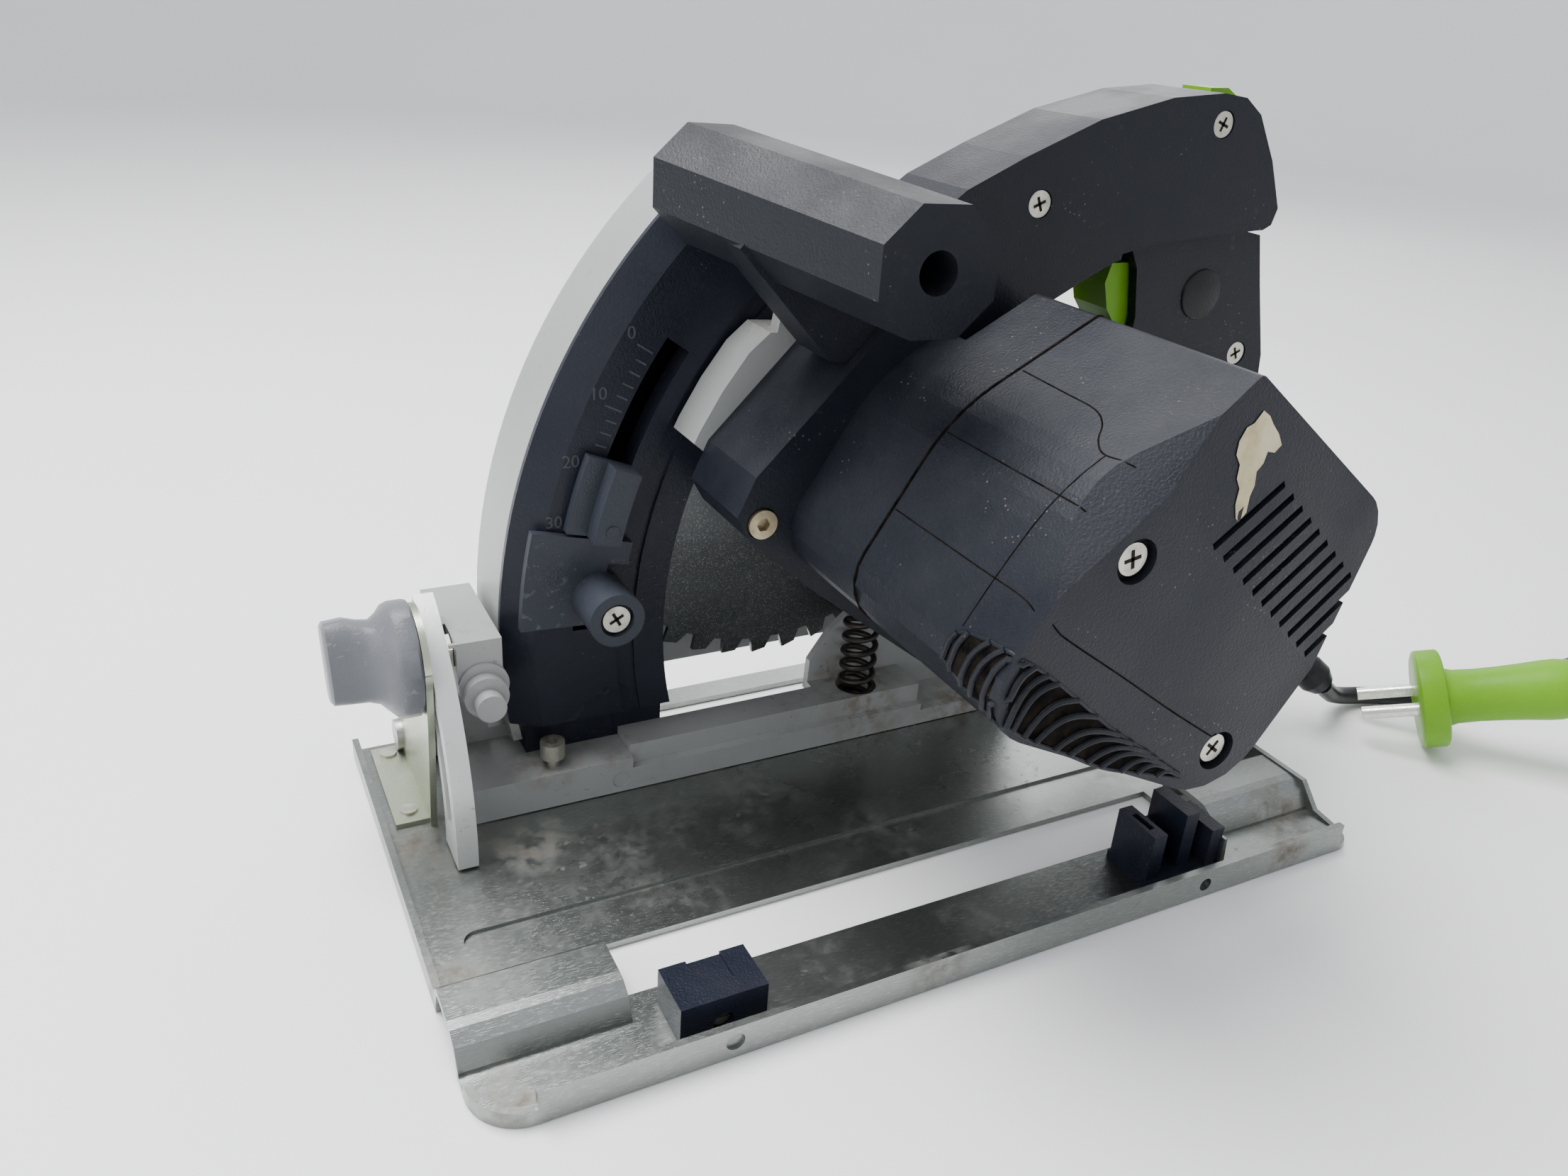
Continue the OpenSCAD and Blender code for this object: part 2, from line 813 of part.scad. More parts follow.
handle_outline = [joint_a, [11, 190.5], [17, 195], [35, 203.5], [59, 213.5], [84, 219.8],
    [103, 221.5], [112, 220.5], [119, 216], [128, 203], [135, 189], [133.7, 184], [128.4, 181.4],
    [135.5, 180], [140.5, 164.5], [148.8, 140.4], [153, 110], [155, 84], [152, 66], [142, 56], [124, 60],
    [108, 74], joint_g, joint_f, joint_e, [89, 146], [89.5, 156], [86.5, 171], [83, 177.2],
    [72.8, 174.3], [63.1, 169.8], [54.4, 165.3], joint_c, joint_b];
leg_recess = [[75, 176.5], [83, 178.4], [97.5, 180.2], [128, 182.4], [165, 183], [165, 40], [92, 40],
    [91.5, 118], joint_e, [75, 145]];
handle_screw_at = [[42, 191], [105, 213], [137, 141.5]];

module handle_shell(y0, y1) {
    difference() {
        slab_y(handle_outline, y0, y1);
        // the grip's leg is set back on both sides
        slab_y(leg_recess, hand_y0 - 1, leg_y0);
        slab_y(leg_recess, leg_y1, hand_y1 + 1);
        // hollow for the switch
        slab_y([[98, 100], [98, 174], [127, 174], [134, 145], [142, 110], [142, 90]], leg_y0 + 3, leg_y1 - 3);
        // trigger mouth
        block(80, 100, 11.5, 28.5, 149.5, 173);
        // lock button well
        block(107.7, 122.3, 13.7, 26.3, 166, 240);
        // boot seat
        translate(boot_from)
            rotate([0, 0, boot_turn])
                rotate([0, boot_lean, 0])
                    cylinder(r = 7.3, h = 30);
        for (p = handle_screw_at)
            cyl_y(p[0], p[1], 1.6, 0, 28);
        for (p = handle_screw_at)
            cyl_y(p[0], p[1], 4, 0, screw_seat(p));
    }
}

// How deep a handle screw's seat lies: further on the set-back leg
function screw_seat(p) = p[1] < 180 ? leg_y0 + 2 : hand_y0 + 2;

module handle_near() {
    color("MidnightBlue")
        handle_shell(hand_y0, hand_mid);
}

module handle_far() {
    color("MidnightBlue")
        handle_shell(hand_mid, hand_y1);
}

module handle_screws() {
    color("Silver")
        for (p = handle_screw_at)
            union() {
                cyl_y(p[0], p[1], 1.6, screw_seat(p), 28);
                cyl_y(p[0], p[1], 3.7, screw_seat(p) - 1.6, screw_seat(p));
            }
}

// Grip axis: from its far end over the guard to its near end
grip_far = [-46.5, 36, 192.5];
grip_near = [-22, -45, 184];
grip_dir = grip_far - grip_near;
grip_r = 16.4;
grip_seam = 25;

module grip_bar(r) {
    translate(grip_near)
        rotate([0, 0, atan2(grip_dir[1], grip_dir[0])])
            rotate([0, acos(grip_dir[2] / norm(grip_dir)), 0])
                translate([0, 0, -20])
                    rotate([0, 0, 22.5])
                        cylinder(r = r, h = norm(grip_dir) + 40, $fn = 8);
}

module front_grip() {
    web = [[-24, 152], [-52, 182], [-40, 196], [-8, 190], [8, 184], joint_a, [-19, 151.2]];
    color("DarkSlateGray")
        difference() {
            union() {
                intersection() {
                    grip_bar(grip_r);
                    block(-big, big, -45, grip_seam, 100, big);
                }
                slab_y(web, -2, 16);
            }
            cyl_y(-22.5, 184, 5.2, -46, -15);
            slab_y(cover_outline, -7, 27);
        }
}

module grip_cap() {
    color("DarkSlateGray")
        intersection() {
            grip_bar(grip_r);
            block(-big, big, grip_seam, 33, 100, big);
        }
}

// Boot: leaves the handle's lower rear corner
boot_vec = lead_exit - boot_from;
boot_turn = atan2(boot_vec[1], boot_vec[0]);
lead_dir = heading(smooth(route, 2), 0);
boot_lean = acos(boot_vec[2] / norm(boot_vec));

module lead_boot() {
    l = norm(boot_vec);
    color("Black")
        difference() {
            translate(boot_from)
                rotate([0, 0, boot_turn])
                    rotate([0, boot_lean, 0])
                        union() {
                            cylinder(r = 7.2, h = 12);
                            cylinder(r1 = 7, r2 = 4.6, h = l - 2);
                            translate([0, 0, l - 13])
                                cylinder(r1 = 5.2, r2 = 6.4, h = 4);
                            translate([0, 0, l - 9])
                                cylinder(r = 6.4, h = 5);
                            translate([0, 0, l - 4])
                                cylinder(r1 = 6.4, r2 = 4.6, h = 4);
                        }
            // mouth that the lead leaves by
            translate(lead_exit)
                rotate([0, 0, atan2(lead_dir[1], lead_dir[0])])
                    rotate([0, acos(lead_dir[2]), 0])
                        translate([0, 0, -0.05])
                            cylinder(r = lead_r + 0.05, h = 12);
        }
}

module stator() {
    color("Gray")
        ring_y(mot_x, mot_z, 22.5, 41, -72, -34);
}

module switch_block() {
    color("Black")
        block(116, 127, 13, 26, 112, 148);
}

// ---------- spindle ----------

module arbor() {
    color("Gray")
        difference() {
            union() {
                cyl_y(arb_x, arb_z, 8, 1, 55);
                cyl_y(arb_x, arb_z, 9.95, 55, 60.5);
            }
            cyl_y(arb_x, arb_z, 3.95, 40, 62);
        }
}

module gear_wheel() {
    color("Gray")
        ring_y(arb_x, arb_z, 8, 22.9, 6, 22);
}

module inner_flange() {
    color("Gray")
        ring_y(arb_x, arb_z, 9.95, 19.5, 55.5, 61.2);
}

module outer_flange() {
    color("Gray")
        ring_y(arb_x, arb_z, 3.95, 19.5, 62.8, 66);
}

module arbor_bolt() {
    color("Black")
        union() {
            cyl_y(arb_x, arb_z, 3.95, 45, 66.5);
            translate([arb_x, 71.5, arb_z])
                rotate([90, 0, 0])
                    cylinder(r = 7.5, h = 5.5, $fn = 6);
        }
}

function tooth_at(r, a) = [arb_x + r * cos(a), arb_z + r * sin(a)];

module saw_blade() {
    step = 360 / blade_teeth;
    outline = [for (i = [0:blade_teeth - 1], k = [0:3])
        k == 0 ? tooth_at(blade_r, i * step)
        : k == 1 ? tooth_at(blade_r - 1.2, i * step + 0.42 * step)
        : k == 2 ? tooth_at(blade_r - 5.5, i * step + 0.6 * step)
        : tooth_at(blade_r - 5.5, i * step + 0.9 * step)];
    color("DimGray")
        difference() {
            slab_y(outline, blade_y, blade_y + blade_t);
            cyl_y(arb_x, arb_z, 3.95, blade_y - 1, blade_y + blade_t + 1);
        }
}

// ---------- motor armature ----------

module motor_shaft() {
    color("Gray")
        cyl_y(mot_x, mot_z, 4, -98, 24);
}

module rotor_core() {
    color("DimGray")
        ring_y(mot_x, mot_z, 4, 21, -72, -34);
}

module commutator() {
    color("Peru")
        ring_y(mot_x, mot_z, 4, 12, -88, -78);
}

module fan() {
    color("Black")
        ring_y(mot_x, mot_z, 4, 36, -26, -18);
}

module pinion() {
    color("Gray")
        ring_y(mot_x, mot_z, 4, 6.7, 6, 22);
}

// ---------- controls ----------

module trigger() {
    color("YellowGreen")
        union() {
            slab_y([[80, 172], [78.5, 166], [81, 158], [85, 153], [92, 150.5], [92, 172]], 12, 28);
            block(90, 108, 12, 28, 150.5, 172);
        }
}

module lock_button() {
    color("YellowGreen")
        slab_y([[108, 196], [108, 222.2], [115, 222.4], [122, 218.5], [122, 196]], 14, 26);
}

// ---------- lead and plug ----------

module lead_tube() {
    color("Black")
        tube(smooth(route, 2), lead_r, 10);
}

module lead_tail() {
    color("Black")
        tube(smooth(tail_route, 2), lead_r, 10);
}

module lead_coil() {
    w = coil_cols * lead_d;
    color("Black")
        translate([coil_x, coil_y, 0])
            rotate_extrude()
                translate([coil_mid_r - w / 2, 0])
                    square([w, coil_rows * lead_d]);
}

module plug_pose() {
    translate(plug_at)
        rotate([0, 0, plug_turn])
            rotate([0, -plug_lift, 0])
                rotate([plug_roll, 0, 0])
                    children();
}

module plug_body() {
    color("YellowGreen")
        plug_pose()
            difference() {
                union() {
                    rotate([0, 90, 0])
                        cylinder(r = 18.2, h = 9.5);
                    translate([9.5, 0, 0])
                        rotate([0, 90, 0])
                            cylinder(r1 = 9.6, r2 = 10.4, h = 26);
                    translate([35.5, 0, 0])
                        rotate([0, 90, 0])
                            cylinder(r1 = 10.4, r2 = 11, h = 10);
                    translate([45.5, 0, 0])
                        rotate([0, 90, 0])
                            cylinder(r1 = 11, r2 = 7, h = 16);
                    translate([61.5, 0, 0])
                        rotate([0, 90, 0])
                            cylinder(r1 = 7, r2 = 4.6, h = plug_l - 61.5);
                }
                // flats and earth notches of the face
                for (a = [0, 180])
                    rotate([a, 0, 0]) {
                        block(-1, 10.5, -20, 20, 16.4, 20);
                        block(-1, 6, -2.5, 2.5, 14, 20);
                    }
                for (sy = [-1, 1])
                    translate([-1, sy * 9.5, 0])
                        rotate([0, 90, 0])
                            cylinder(r = 2.4, h = 7);
            }
}

module plug_pins() {
    color("Silver")
        plug_pose()
            for (sy = [-1, 1])
                translate([-19, sy * 9.5, 0])
                    rotate([0, 90, 0])
                        cylinder(r = 2.4, h = 25);
}

base_plate();
front_bracket();
rear_bracket();
hinge_pin_front();
hinge_pin_rear();
clamp_nut();
front_jaw();
rear_jaw();
jaw_spring();
front_jaw_screw();
bracket_rivets();
bevel_knob();
bevel_bolt();
swivel_frame();
front_quadrant();
front_casting();
guard_half();
guard_cover();
fence_screw();
plunge_pin();
return_spring();
depth_slider();
depth_post();
post_screw();
release_lever();
gear_arm();
gear_cover();
motor_housing();
end_cap();
handle_near();
handle_far();
front_grip();
grip_cap();
cover_screw();
cap_screws();
handle_screws();
lead_boot();
stator();
switch_block();
arbor();
gear_wheel();
inner_flange();
outer_flange();
arbor_bolt();
saw_blade();
motor_shaft();
rotor_core();
commutator();
fan();
pinion();
trigger();
lock_button();
lead_tube();
lead_coil();
lead_tail();
plug_body();
plug_pins();
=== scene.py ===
"""Looks of the plunge saw: camera, worn materials, lead, and the pieces that the frame leaves plain."""

import math

import bpy
from mathutils import Matrix, Vector
from mathutils.bvhtree import BVHTree
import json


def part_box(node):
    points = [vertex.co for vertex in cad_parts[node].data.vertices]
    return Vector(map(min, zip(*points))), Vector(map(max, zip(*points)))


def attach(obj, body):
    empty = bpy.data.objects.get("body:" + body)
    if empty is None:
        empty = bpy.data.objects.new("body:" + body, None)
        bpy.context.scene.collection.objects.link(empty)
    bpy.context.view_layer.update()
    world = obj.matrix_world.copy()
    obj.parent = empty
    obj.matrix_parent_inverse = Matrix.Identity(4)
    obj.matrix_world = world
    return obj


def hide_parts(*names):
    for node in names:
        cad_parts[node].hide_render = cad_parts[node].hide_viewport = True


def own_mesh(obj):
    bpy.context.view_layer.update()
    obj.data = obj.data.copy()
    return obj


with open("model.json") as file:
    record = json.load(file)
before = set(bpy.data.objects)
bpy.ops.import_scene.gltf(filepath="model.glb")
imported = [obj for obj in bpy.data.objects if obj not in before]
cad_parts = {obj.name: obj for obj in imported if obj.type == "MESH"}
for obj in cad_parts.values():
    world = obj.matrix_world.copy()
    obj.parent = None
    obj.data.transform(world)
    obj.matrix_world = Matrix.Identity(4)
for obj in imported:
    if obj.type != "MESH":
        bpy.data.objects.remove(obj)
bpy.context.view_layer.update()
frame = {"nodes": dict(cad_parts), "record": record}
NODES = frame["nodes"]
MM = 0.001

# ---------- camera ----------

CAMERA_AT = (-0.1818, -0.2752, 0.2370)
YAW, PITCH, ROLL = math.radians(28.55), math.radians(25.81), math.radians(4.08)


def make_camera():
    """A camera at CAMERA_AT that looks down by PITCH, turned from +Y towards +X by YAW, and rolled."""
    forward = Vector((math.sin(YAW) * math.cos(PITCH), math.cos(YAW) * math.cos(PITCH), -math.sin(PITCH)))
    level = Vector((math.cos(YAW), -math.sin(YAW), 0))
    up = level.cross(forward)
    right = math.cos(ROLL) * level + math.sin(ROLL) * up
    up = right.cross(forward)
    data = bpy.data.cameras.new("camera")
    data.lens, data.sensor_width, data.clip_start = 27.75, 36, 0.01
    camera = bpy.data.objects.new("camera", data)
    bpy.context.collection.objects.link(camera)
    camera.matrix_world = Matrix.Translation(CAMERA_AT) @ Matrix((right, up, -forward)).transposed().to_4x4()
    bpy.context.scene.camera = camera


make_camera()

# ---------- materials ----------

NOISE_ROUGH = 0.55


class Shader:
    """A material and short ways to add nodes to it. Coordinates are metres in the row frame."""

    def __init__(self, name):
        self.material = bpy.data.materials.new(name)
        self.material.use_nodes = True
        self.tree = self.material.node_tree
        self.main = self.tree.nodes["Principled BSDF"]
        self.place = self.tree.nodes.new("ShaderNodeTexCoord").outputs["Object"]

    def set(self, socket, value):
        if isinstance(value, bpy.types.NodeSocket):
            self.tree.links.new(value, socket)
        elif isinstance(value, (tuple, list)) and len(value) == 3 and socket.type == "RGBA":
            socket.default_value = (*value, 1)
        else:
            socket.default_value = value

    def math(self, operation, a, b=0.0):
        node = self.tree.nodes.new("ShaderNodeMath")
        node.operation = operation
        self.set(node.inputs[0], a)
        self.set(node.inputs[1], b)
        return node.outputs[0]

    def ramp(self, value, low, high, to_low=0.0, to_high=1.0):
        node = self.tree.nodes.new("ShaderNodeMapRange")
        names = ("Value", "From Min", "From Max", "To Min", "To Max")
        for name, v in zip(names, (value, low, high, to_low, to_high)):
            self.set(node.inputs[name], v)
        return node.outputs[0]

    def stretched(self, stretch):
        node = self.tree.nodes.new("ShaderNodeMapping")
        self.set(node.inputs["Vector"], self.place)
        node.inputs["Scale"].default_value = stretch
        return node.outputs[0]

    def noise(self, scale, low=0.0, high=1.0, stretch=(1, 1, 1), detail=5.0):
        node = self.tree.nodes.new("ShaderNodeTexNoise")
        self.set(node.inputs["Vector"], self.stretched(stretch))
        node.inputs["Scale"].default_value = scale
        node.inputs["Detail"].default_value = detail
        node.inputs["Roughness"].default_value = NOISE_ROUGH
        return self.ramp(node.outputs[0], low, high)

    def cells(self, scale, low, high):
        node = self.tree.nodes.new("ShaderNodeTexVoronoi")
        self.set(node.inputs["Vector"], self.place)
        node.inputs["Scale"].default_value = scale
        return self.ramp(node.outputs["Distance"], low, high)

    def mix(self, share, a, b):
        node = self.tree.nodes.new("ShaderNodeMix")
        node.data_type = "RGBA"
        self.set(node.inputs[0], share)
        self.set(node.inputs[6], a)
        self.set(node.inputs[7], b)
        return node.outputs[2]

    def upward(self, low, high):
        """1 on faces that look up, 0 on those whose normal rises by less than low."""
        normal = self.tree.nodes.new("ShaderNodeNewGeometry").outputs["Normal"]
        split = self.tree.nodes.new("ShaderNodeSeparateXYZ")
        self.set(split.inputs[0], normal)
        return self.ramp(split.outputs[2], low, high)

    def near(self, centre, radius):
        """1 at a centre in millimetres, falling to 0 at the radius."""
        node = self.tree.nodes.new("ShaderNodeVectorMath")
        node.operation = "DISTANCE"
        self.set(node.inputs[0], self.place)
        node.inputs[1].default_value = [c * MM for c in centre]
        return self.ramp(node.outputs["Value"], radius * MM, 0.3 * radius * MM)

    def bump(self, height, distance):
        node = self.tree.nodes.new("ShaderNodeBump")
        self.set(node.inputs["Height"], height)
        node.inputs["Distance"].default_value = distance
        return node.outputs[0]

    def finish(self, colour, rough, normal=None, metal=0.0, specular=0.5):
        self.set(self.main.inputs["Base Color"], colour)
        self.set(self.main.inputs["Roughness"], rough)
        self.set(self.main.inputs["Metallic"], metal)
        self.set(self.main.inputs["Specular IOR Level"], specular)
        if normal is not None:
            self.set(self.main.inputs["Normal"], normal)
        return self.material


def moulded(name, colour, grain=0.00005, rough=0.42, dust=0.3, wear=0.2):
    """Moulded plastic: fine grain, smudged sheen, faint scuffs and specks of sawdust."""
    s = Shader(name)
    smudge = s.noise(28, 0.40, 0.65)
    scuff = s.math("MULTIPLY", s.noise(260, 0.60, 0.70, stretch=(1, 5, 1.5)), s.noise(20, 0.45, 0.62))
    crumb = s.math("MULTIPLY", s.cells(520, 0.16, 0.06), s.noise(45, 0.55, 0.62))
    base = s.mix(s.math("MULTIPLY", smudge, 0.25), colour, tuple(c * 1.5 + 0.003 for c in colour))
    base = s.mix(s.math("MULTIPLY", scuff, wear), base, tuple(c * 2 + 0.05 for c in colour))
    film = s.math("MULTIPLY", s.upward(0.2, 1.0), s.noise(60, 0.35, 0.8))
    base = s.mix(s.math("MULTIPLY", film, 0.14 * dust), base, (0.36, 0.35, 0.33))
    base = s.mix(s.math("MULTIPLY", crumb, dust), base, (0.42, 0.36, 0.26))
    normal = s.bump(s.noise(1400, 0.3, 0.7, detail=2), grain)
    return s.finish(base, s.ramp(smudge, 0, 1, rough - 0.07, rough + 0.10), normal, specular=0.22)


def sheet_metal(name, colour, along=(1, 14, 14), rough=0.27, dirt=0.5, rust=0.3, patches=()):
    """Plated sheet: clear reflections, fine scratches, grime, and rust round the stains (centre, radius)."""
    s = Shader(name)
    scratch = s.noise(420, 0.55, 0.72, stretch=along)
    cloud = s.noise(9, 0.3, 0.7)
    film = s.math("MULTIPLY", s.noise(30, 0.45, 0.75), s.noise(240, 0.35, 0.7))
    crumb = s.cells(520, 0.12, 0.05)
    base = s.mix(cloud, colour, tuple(c * 0.8 for c in colour))
    base = s.mix(s.math("MULTIPLY", scratch, 0.35), base, (0.75, 0.77, 0.76))
    base = s.mix(s.math("MULTIPLY", film, dirt * 0.5), base, (0.20, 0.18, 0.14))
    spots = s.math("MULTIPLY", s.noise(330, 0.60, 0.68), s.noise(26, 0.5, 0.62))
    soil = s.math("MULTIPLY", spots, rust)
    for centre, radius in patches:
        near = s.near(centre, radius)
        blotch = s.math("MULTIPLY", near, s.noise(170, 0.38, 0.72))
        soil = s.math("MAXIMUM", soil, s.math("MULTIPLY", blotch, 0.9))
    base = s.mix(soil, base, s.mix(s.noise(300), (0.05, 0.030, 0.018), (0.15, 0.11, 0.072)))
    crumb = s.math("MULTIPLY", crumb, s.math("MULTIPLY", s.noise(35, 0.58, 0.64), dirt))
    base = s.mix(crumb, base, (0.40, 0.33, 0.22))
    dull = s.math("MAXIMUM", soil, s.math("MULTIPLY", film, dirt * 0.5))
    roughness = s.math("ADD", s.ramp(cloud, 0, 1, rough - 0.05, rough + 0.07), s.math("MULTIPLY", dull, 0.4))
    normal = s.bump(scratch, 0.00001)
    metal = s.ramp(dull, 0, 1, 0.96, 0.1)
    return s.finish(base, roughness, normal, metal)


def casting(name, colour, metal=0.2, rough=0.40, dirt=0.3, patches=()):
    """Silver-painted or bare casting: even tone, fine skin, grime specks, and darker patches round given
    centres (centre, radius).
    """
    s = Shader(name)
    cloud = s.noise(25, 0.3, 0.7)
    speck = s.math("MULTIPLY", s.noise(420, 0.64, 0.70), s.noise(20, 0.48, 0.65))
    soil = s.math("MULTIPLY", s.noise(35, 0.55, 0.72), s.noise(260, 0.45, 0.65))
    soil = s.math("MULTIPLY", soil, dirt)
    for centre, radius in patches:
        near = s.near(centre, radius)
        soil = s.math("MAXIMUM", soil, s.math("MULTIPLY", near, s.noise(190, 0.42, 0.62)))
    base = s.mix(cloud, colour, tuple(c * 0.92 for c in colour))
    base = s.mix(s.math("MULTIPLY", soil, 0.8), base, (0.15, 0.115, 0.075))
    base = s.mix(s.math("MULTIPLY", speck, dirt), base, (0.05, 0.045, 0.04))
    normal = s.bump(s.noise(900, 0.3, 0.7, detail=2), 0.000012)
    return s.finish(base, s.ramp(soil, 0, 1, rough, 0.75), normal, metal)


def turned(name, colour, rough=0.28, dirt=0.3):
    """Small metal parts, dark joint lines, and near-black painted shade for recesses and hollows."""
    s = Shader(name)
    cloud = s.noise(300, 0.35, 0.7)
    base = s.mix(s.math("MULTIPLY", cloud, dirt), colour, (0.10, 0.08, 0.06))
    normal = s.bump(s.noise(1200, 0.3, 0.7), 0.00002)
    return s.finish(base, s.ramp(cloud, 0, 1, rough, rough + 0.25), normal, 0.95)


DARK_BLUE = (0.0062, 0.0078, 0.0125)
PLATE_STAINS = (
    ((-128, 30, 2), 22),
    ((-104, 18, 2), 16),
    ((-138, -30, 2), 12),
    ((-135, -72, 2), 14),
    ((128, -62, 2), 16),
    ((-20, -80, 6), 12),
    ((112, -80, 6), 10),
)
# Centres (mm) and radii where the castings are made darker.
CASTING_PATCHES = (
    ((-92, 40, 22), 17),
    ((-70, 36, 22), 12),
    ((24, 44, 12), 22),
    ((64, 30, 14), 24),
    ((-18, 36, 152), 14),
)
MATERIALS = {
    "housing": moulded("housing", DARK_BLUE),
    "guard_plastic": moulded("guard_plastic", (0.009, 0.011, 0.018), rough=0.34, dust=0.25, wear=0.1),
    "figures": moulded("figures", (0.045, 0.048, 0.056), wear=0.5),
    "grip": moulded("grip", (0.0075, 0.009, 0.013), grain=0.00006, rough=0.48),
    "black_plastic": moulded("black_plastic", (0.008, 0.008, 0.009)),
    "jaw_plastic": moulded("jaw_plastic", (0.009, 0.011, 0.020), rough=0.34, dust=0.25),
    "knob": moulded("knob", (0.125, 0.130, 0.142), rough=0.36, dust=0.2, wear=0.8),
    "slider": moulded("slider", (0.028, 0.032, 0.042), rough=0.34, dust=0.2, wear=0.7),
    "green": moulded("green", (0.125, 0.31, 0.008), grain=0.00002, rough=0.36, dust=0.06, wear=0.1),
    "lead": moulded("lead", (0.010, 0.010, 0.012), grain=0.00002, rough=0.42, dust=0.1, wear=0.1),
    "zinc_sheet": sheet_metal("zinc_sheet", (0.28, 0.30, 0.285), patches=PLATE_STAINS),
    "bracket": sheet_metal("bracket", (0.50, 0.54, 0.42), along=(8, 2, 8), rough=0.32, dirt=0.5, rust=0.2),
    "blade": sheet_metal("blade", (0.10, 0.105, 0.11), along=(6, 2, 6), rough=0.24, dirt=0.25, rust=0.15),
    # The silver paint is set darker than its own tone, to match castings whose faces lie in shade: partly the
    # paint's colour, partly painted shade. Its grime noise is raised and the patches darken it further.
    "alloy": casting("alloy", (0.33, 0.34, 0.335), dirt=0.45, patches=CASTING_PATCHES),
    "alloy_bare": casting("alloy_bare", (0.62, 0.63, 0.62), metal=0.5, rough=0.36),
    "screw": turned("screw", (0.55, 0.54, 0.47)),
    "brass_screw": turned("brass_screw", (0.46, 0.39, 0.26)),
    "steel": turned("steel", (0.50, 0.50, 0.49)),
    "copper": turned("copper", (0.72, 0.38, 0.20)),
    "spring": turned("spring", (0.045, 0.04, 0.04), rough=0.4),
    "pins": turned("pins", (0.72, 0.71, 0.66), rough=0.18, dirt=0.1),
    # Painted shade: this near-black stands for the shade inside recesses such as the screw crosses.
    "recess": turned("recess", (0.02, 0.018, 0.015), rough=0.6),
    # Dark joint lines; also the painted shade of the louvres' hollow.
    "seam": turned("seam", (0.003, 0.003, 0.004), rough=0.9),
}

# Edges softened by this much where it isn't the default
DEFAULT_EDGE = 0.5 * MM
EDGE = {
    "motor_housing": 0.8 * MM,
    "end_cap": 1.2 * MM,
    "front_jaw": 1.0 * MM,
    "depth_slider": 0.8 * MM,
    "depth_post": 0.8 * MM,
    "release_lever": 1.0 * MM,
    "handle_near": 2.6 * MM,
    "handle_far": 2.6 * MM,
    "front_grip": 2.0 * MM,
    "grip_cap": 2.0 * MM,
    "gear_cover": 1.0 * MM,
    "guard_cover": 0.8 * MM,
    "bevel_knob": 0.7 * MM,
    "base_plate": 0.25 * MM,
    "saw_blade": 0.1 * MM,
    "return_spring": 0,
    "lead_tube": 0,
    "lead_tail": 0,
    "lead_coil": 0,
}


def soften(obj, width):
    """Small rounded edges, so that corners catch the light."""
    if width <= 0:
        return
    bevel = obj.modifiers.new("edge", "BEVEL")
    bevel.width = width
    bevel.segments = 2
    bevel.limit_method = "ANGLE"
    bevel.angle_limit = math.radians(32)
    bevel.harden_normals = True


def dress_frame():
    """Every CAD node gets its slot's material and soft edges."""
    slots = {row["node"]: row["material_slot"] for row in frame["record"]["subparts"]}
    for name, obj in NODES.items():
        material = MATERIALS[slots[name]]
        if obj.material_slots:
            for slot in obj.material_slots:
                slot.link = "OBJECT"
                slot.material = material
        else:
            obj.data.materials.append(material)
        soften(obj, EDGE.get(name, DEFAULT_EDGE))


dress_frame()

# ---------- building pieces ----------


def add_mesh(name, points, faces, material, body, smooth=True):
    """A mesh piece on a body, with the named material in its slot."""
    mesh = bpy.data.meshes.new(name)
    mesh.from_pydata([tuple(p) for p in points], [], faces)
    mesh.update()
    for polygon in mesh.polygons:
        polygon.use_smooth = smooth
    obj = bpy.data.objects.new(name, mesh)
    bpy.context.collection.objects.link(obj)
    obj.data.materials.append(MATERIALS[material])
    if smooth:
        mesh.set_sharp_from_angle(angle=math.radians(35))
    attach(obj, body)
    return obj


def ring_faces(rings, sides):
    """Faces between rings of points, and a face on the first and last ring."""
    faces = []
    for i in range(rings - 1):
        for k in range(sides):
            j = (k + 1) % sides
            faces.append((i * sides + k, i * sides + j, (i + 1) * sides + j, (i + 1) * sides + k))
    faces.append(tuple(range(sides))[::-1])
    faces.append(tuple((rings - 1) * sides + k for k in range(sides)))
    return faces


def turned_piece(name, profile, place, material, body, sides=48):
    """A lathe piece: profile is (distance along x, radius), and place maps x, y, z to the row frame."""
    points = []
    for along, radius in profile:
        for i in range(sides):
            a = 2 * math.pi * i / sides
            points.append(place @ Vector((along, radius * math.cos(a), radius * math.sin(a))))
    return add_mesh(name, points, ring_faces(len(profile), sides), material, body)


def swept(name, path, radius, material, body, sides=12):
    """A round tube along a path of close points, with flat ends."""
    points = []
    side = Vector((0, 0, 1)).cross(path[1] - path[0]).normalized()
    for i, p in enumerate(path):
        along = (path[min(i + 1, len(path) - 1)] - path[max(i - 1, 0)]).normalized()
        side = (side - along * side.dot(along)).normalized()
        over = along.cross(side)
        for k in range(sides):
            a = 2 * math.pi * k / sides
            points.append(p + radius * (math.cos(a) * side + math.sin(a) * over))
    return add_mesh(name, points, ring_faces(len(path), sides), material, body)


def smooth_path(points, steps):
    """A Catmull-Rom curve through the points."""
    points = [Vector(p) for p in points]
    made = []
    for i in range(len(points) - 1):
        a, b = points[max(i - 1, 0)], points[i]
        c, d = points[i + 1], points[min(i + 2, len(points) - 1)]
        for k in range(steps):
            t = k / steps
            bend = (2 * a - 5 * b + 4 * c - d) * t * t + (3 * b - a - 3 * c + d) * t**3
            made.append(0.5 * (2 * b + (c - a) * t + bend))
    made.append(points[-1])
    return made


# ---------- lead ----------

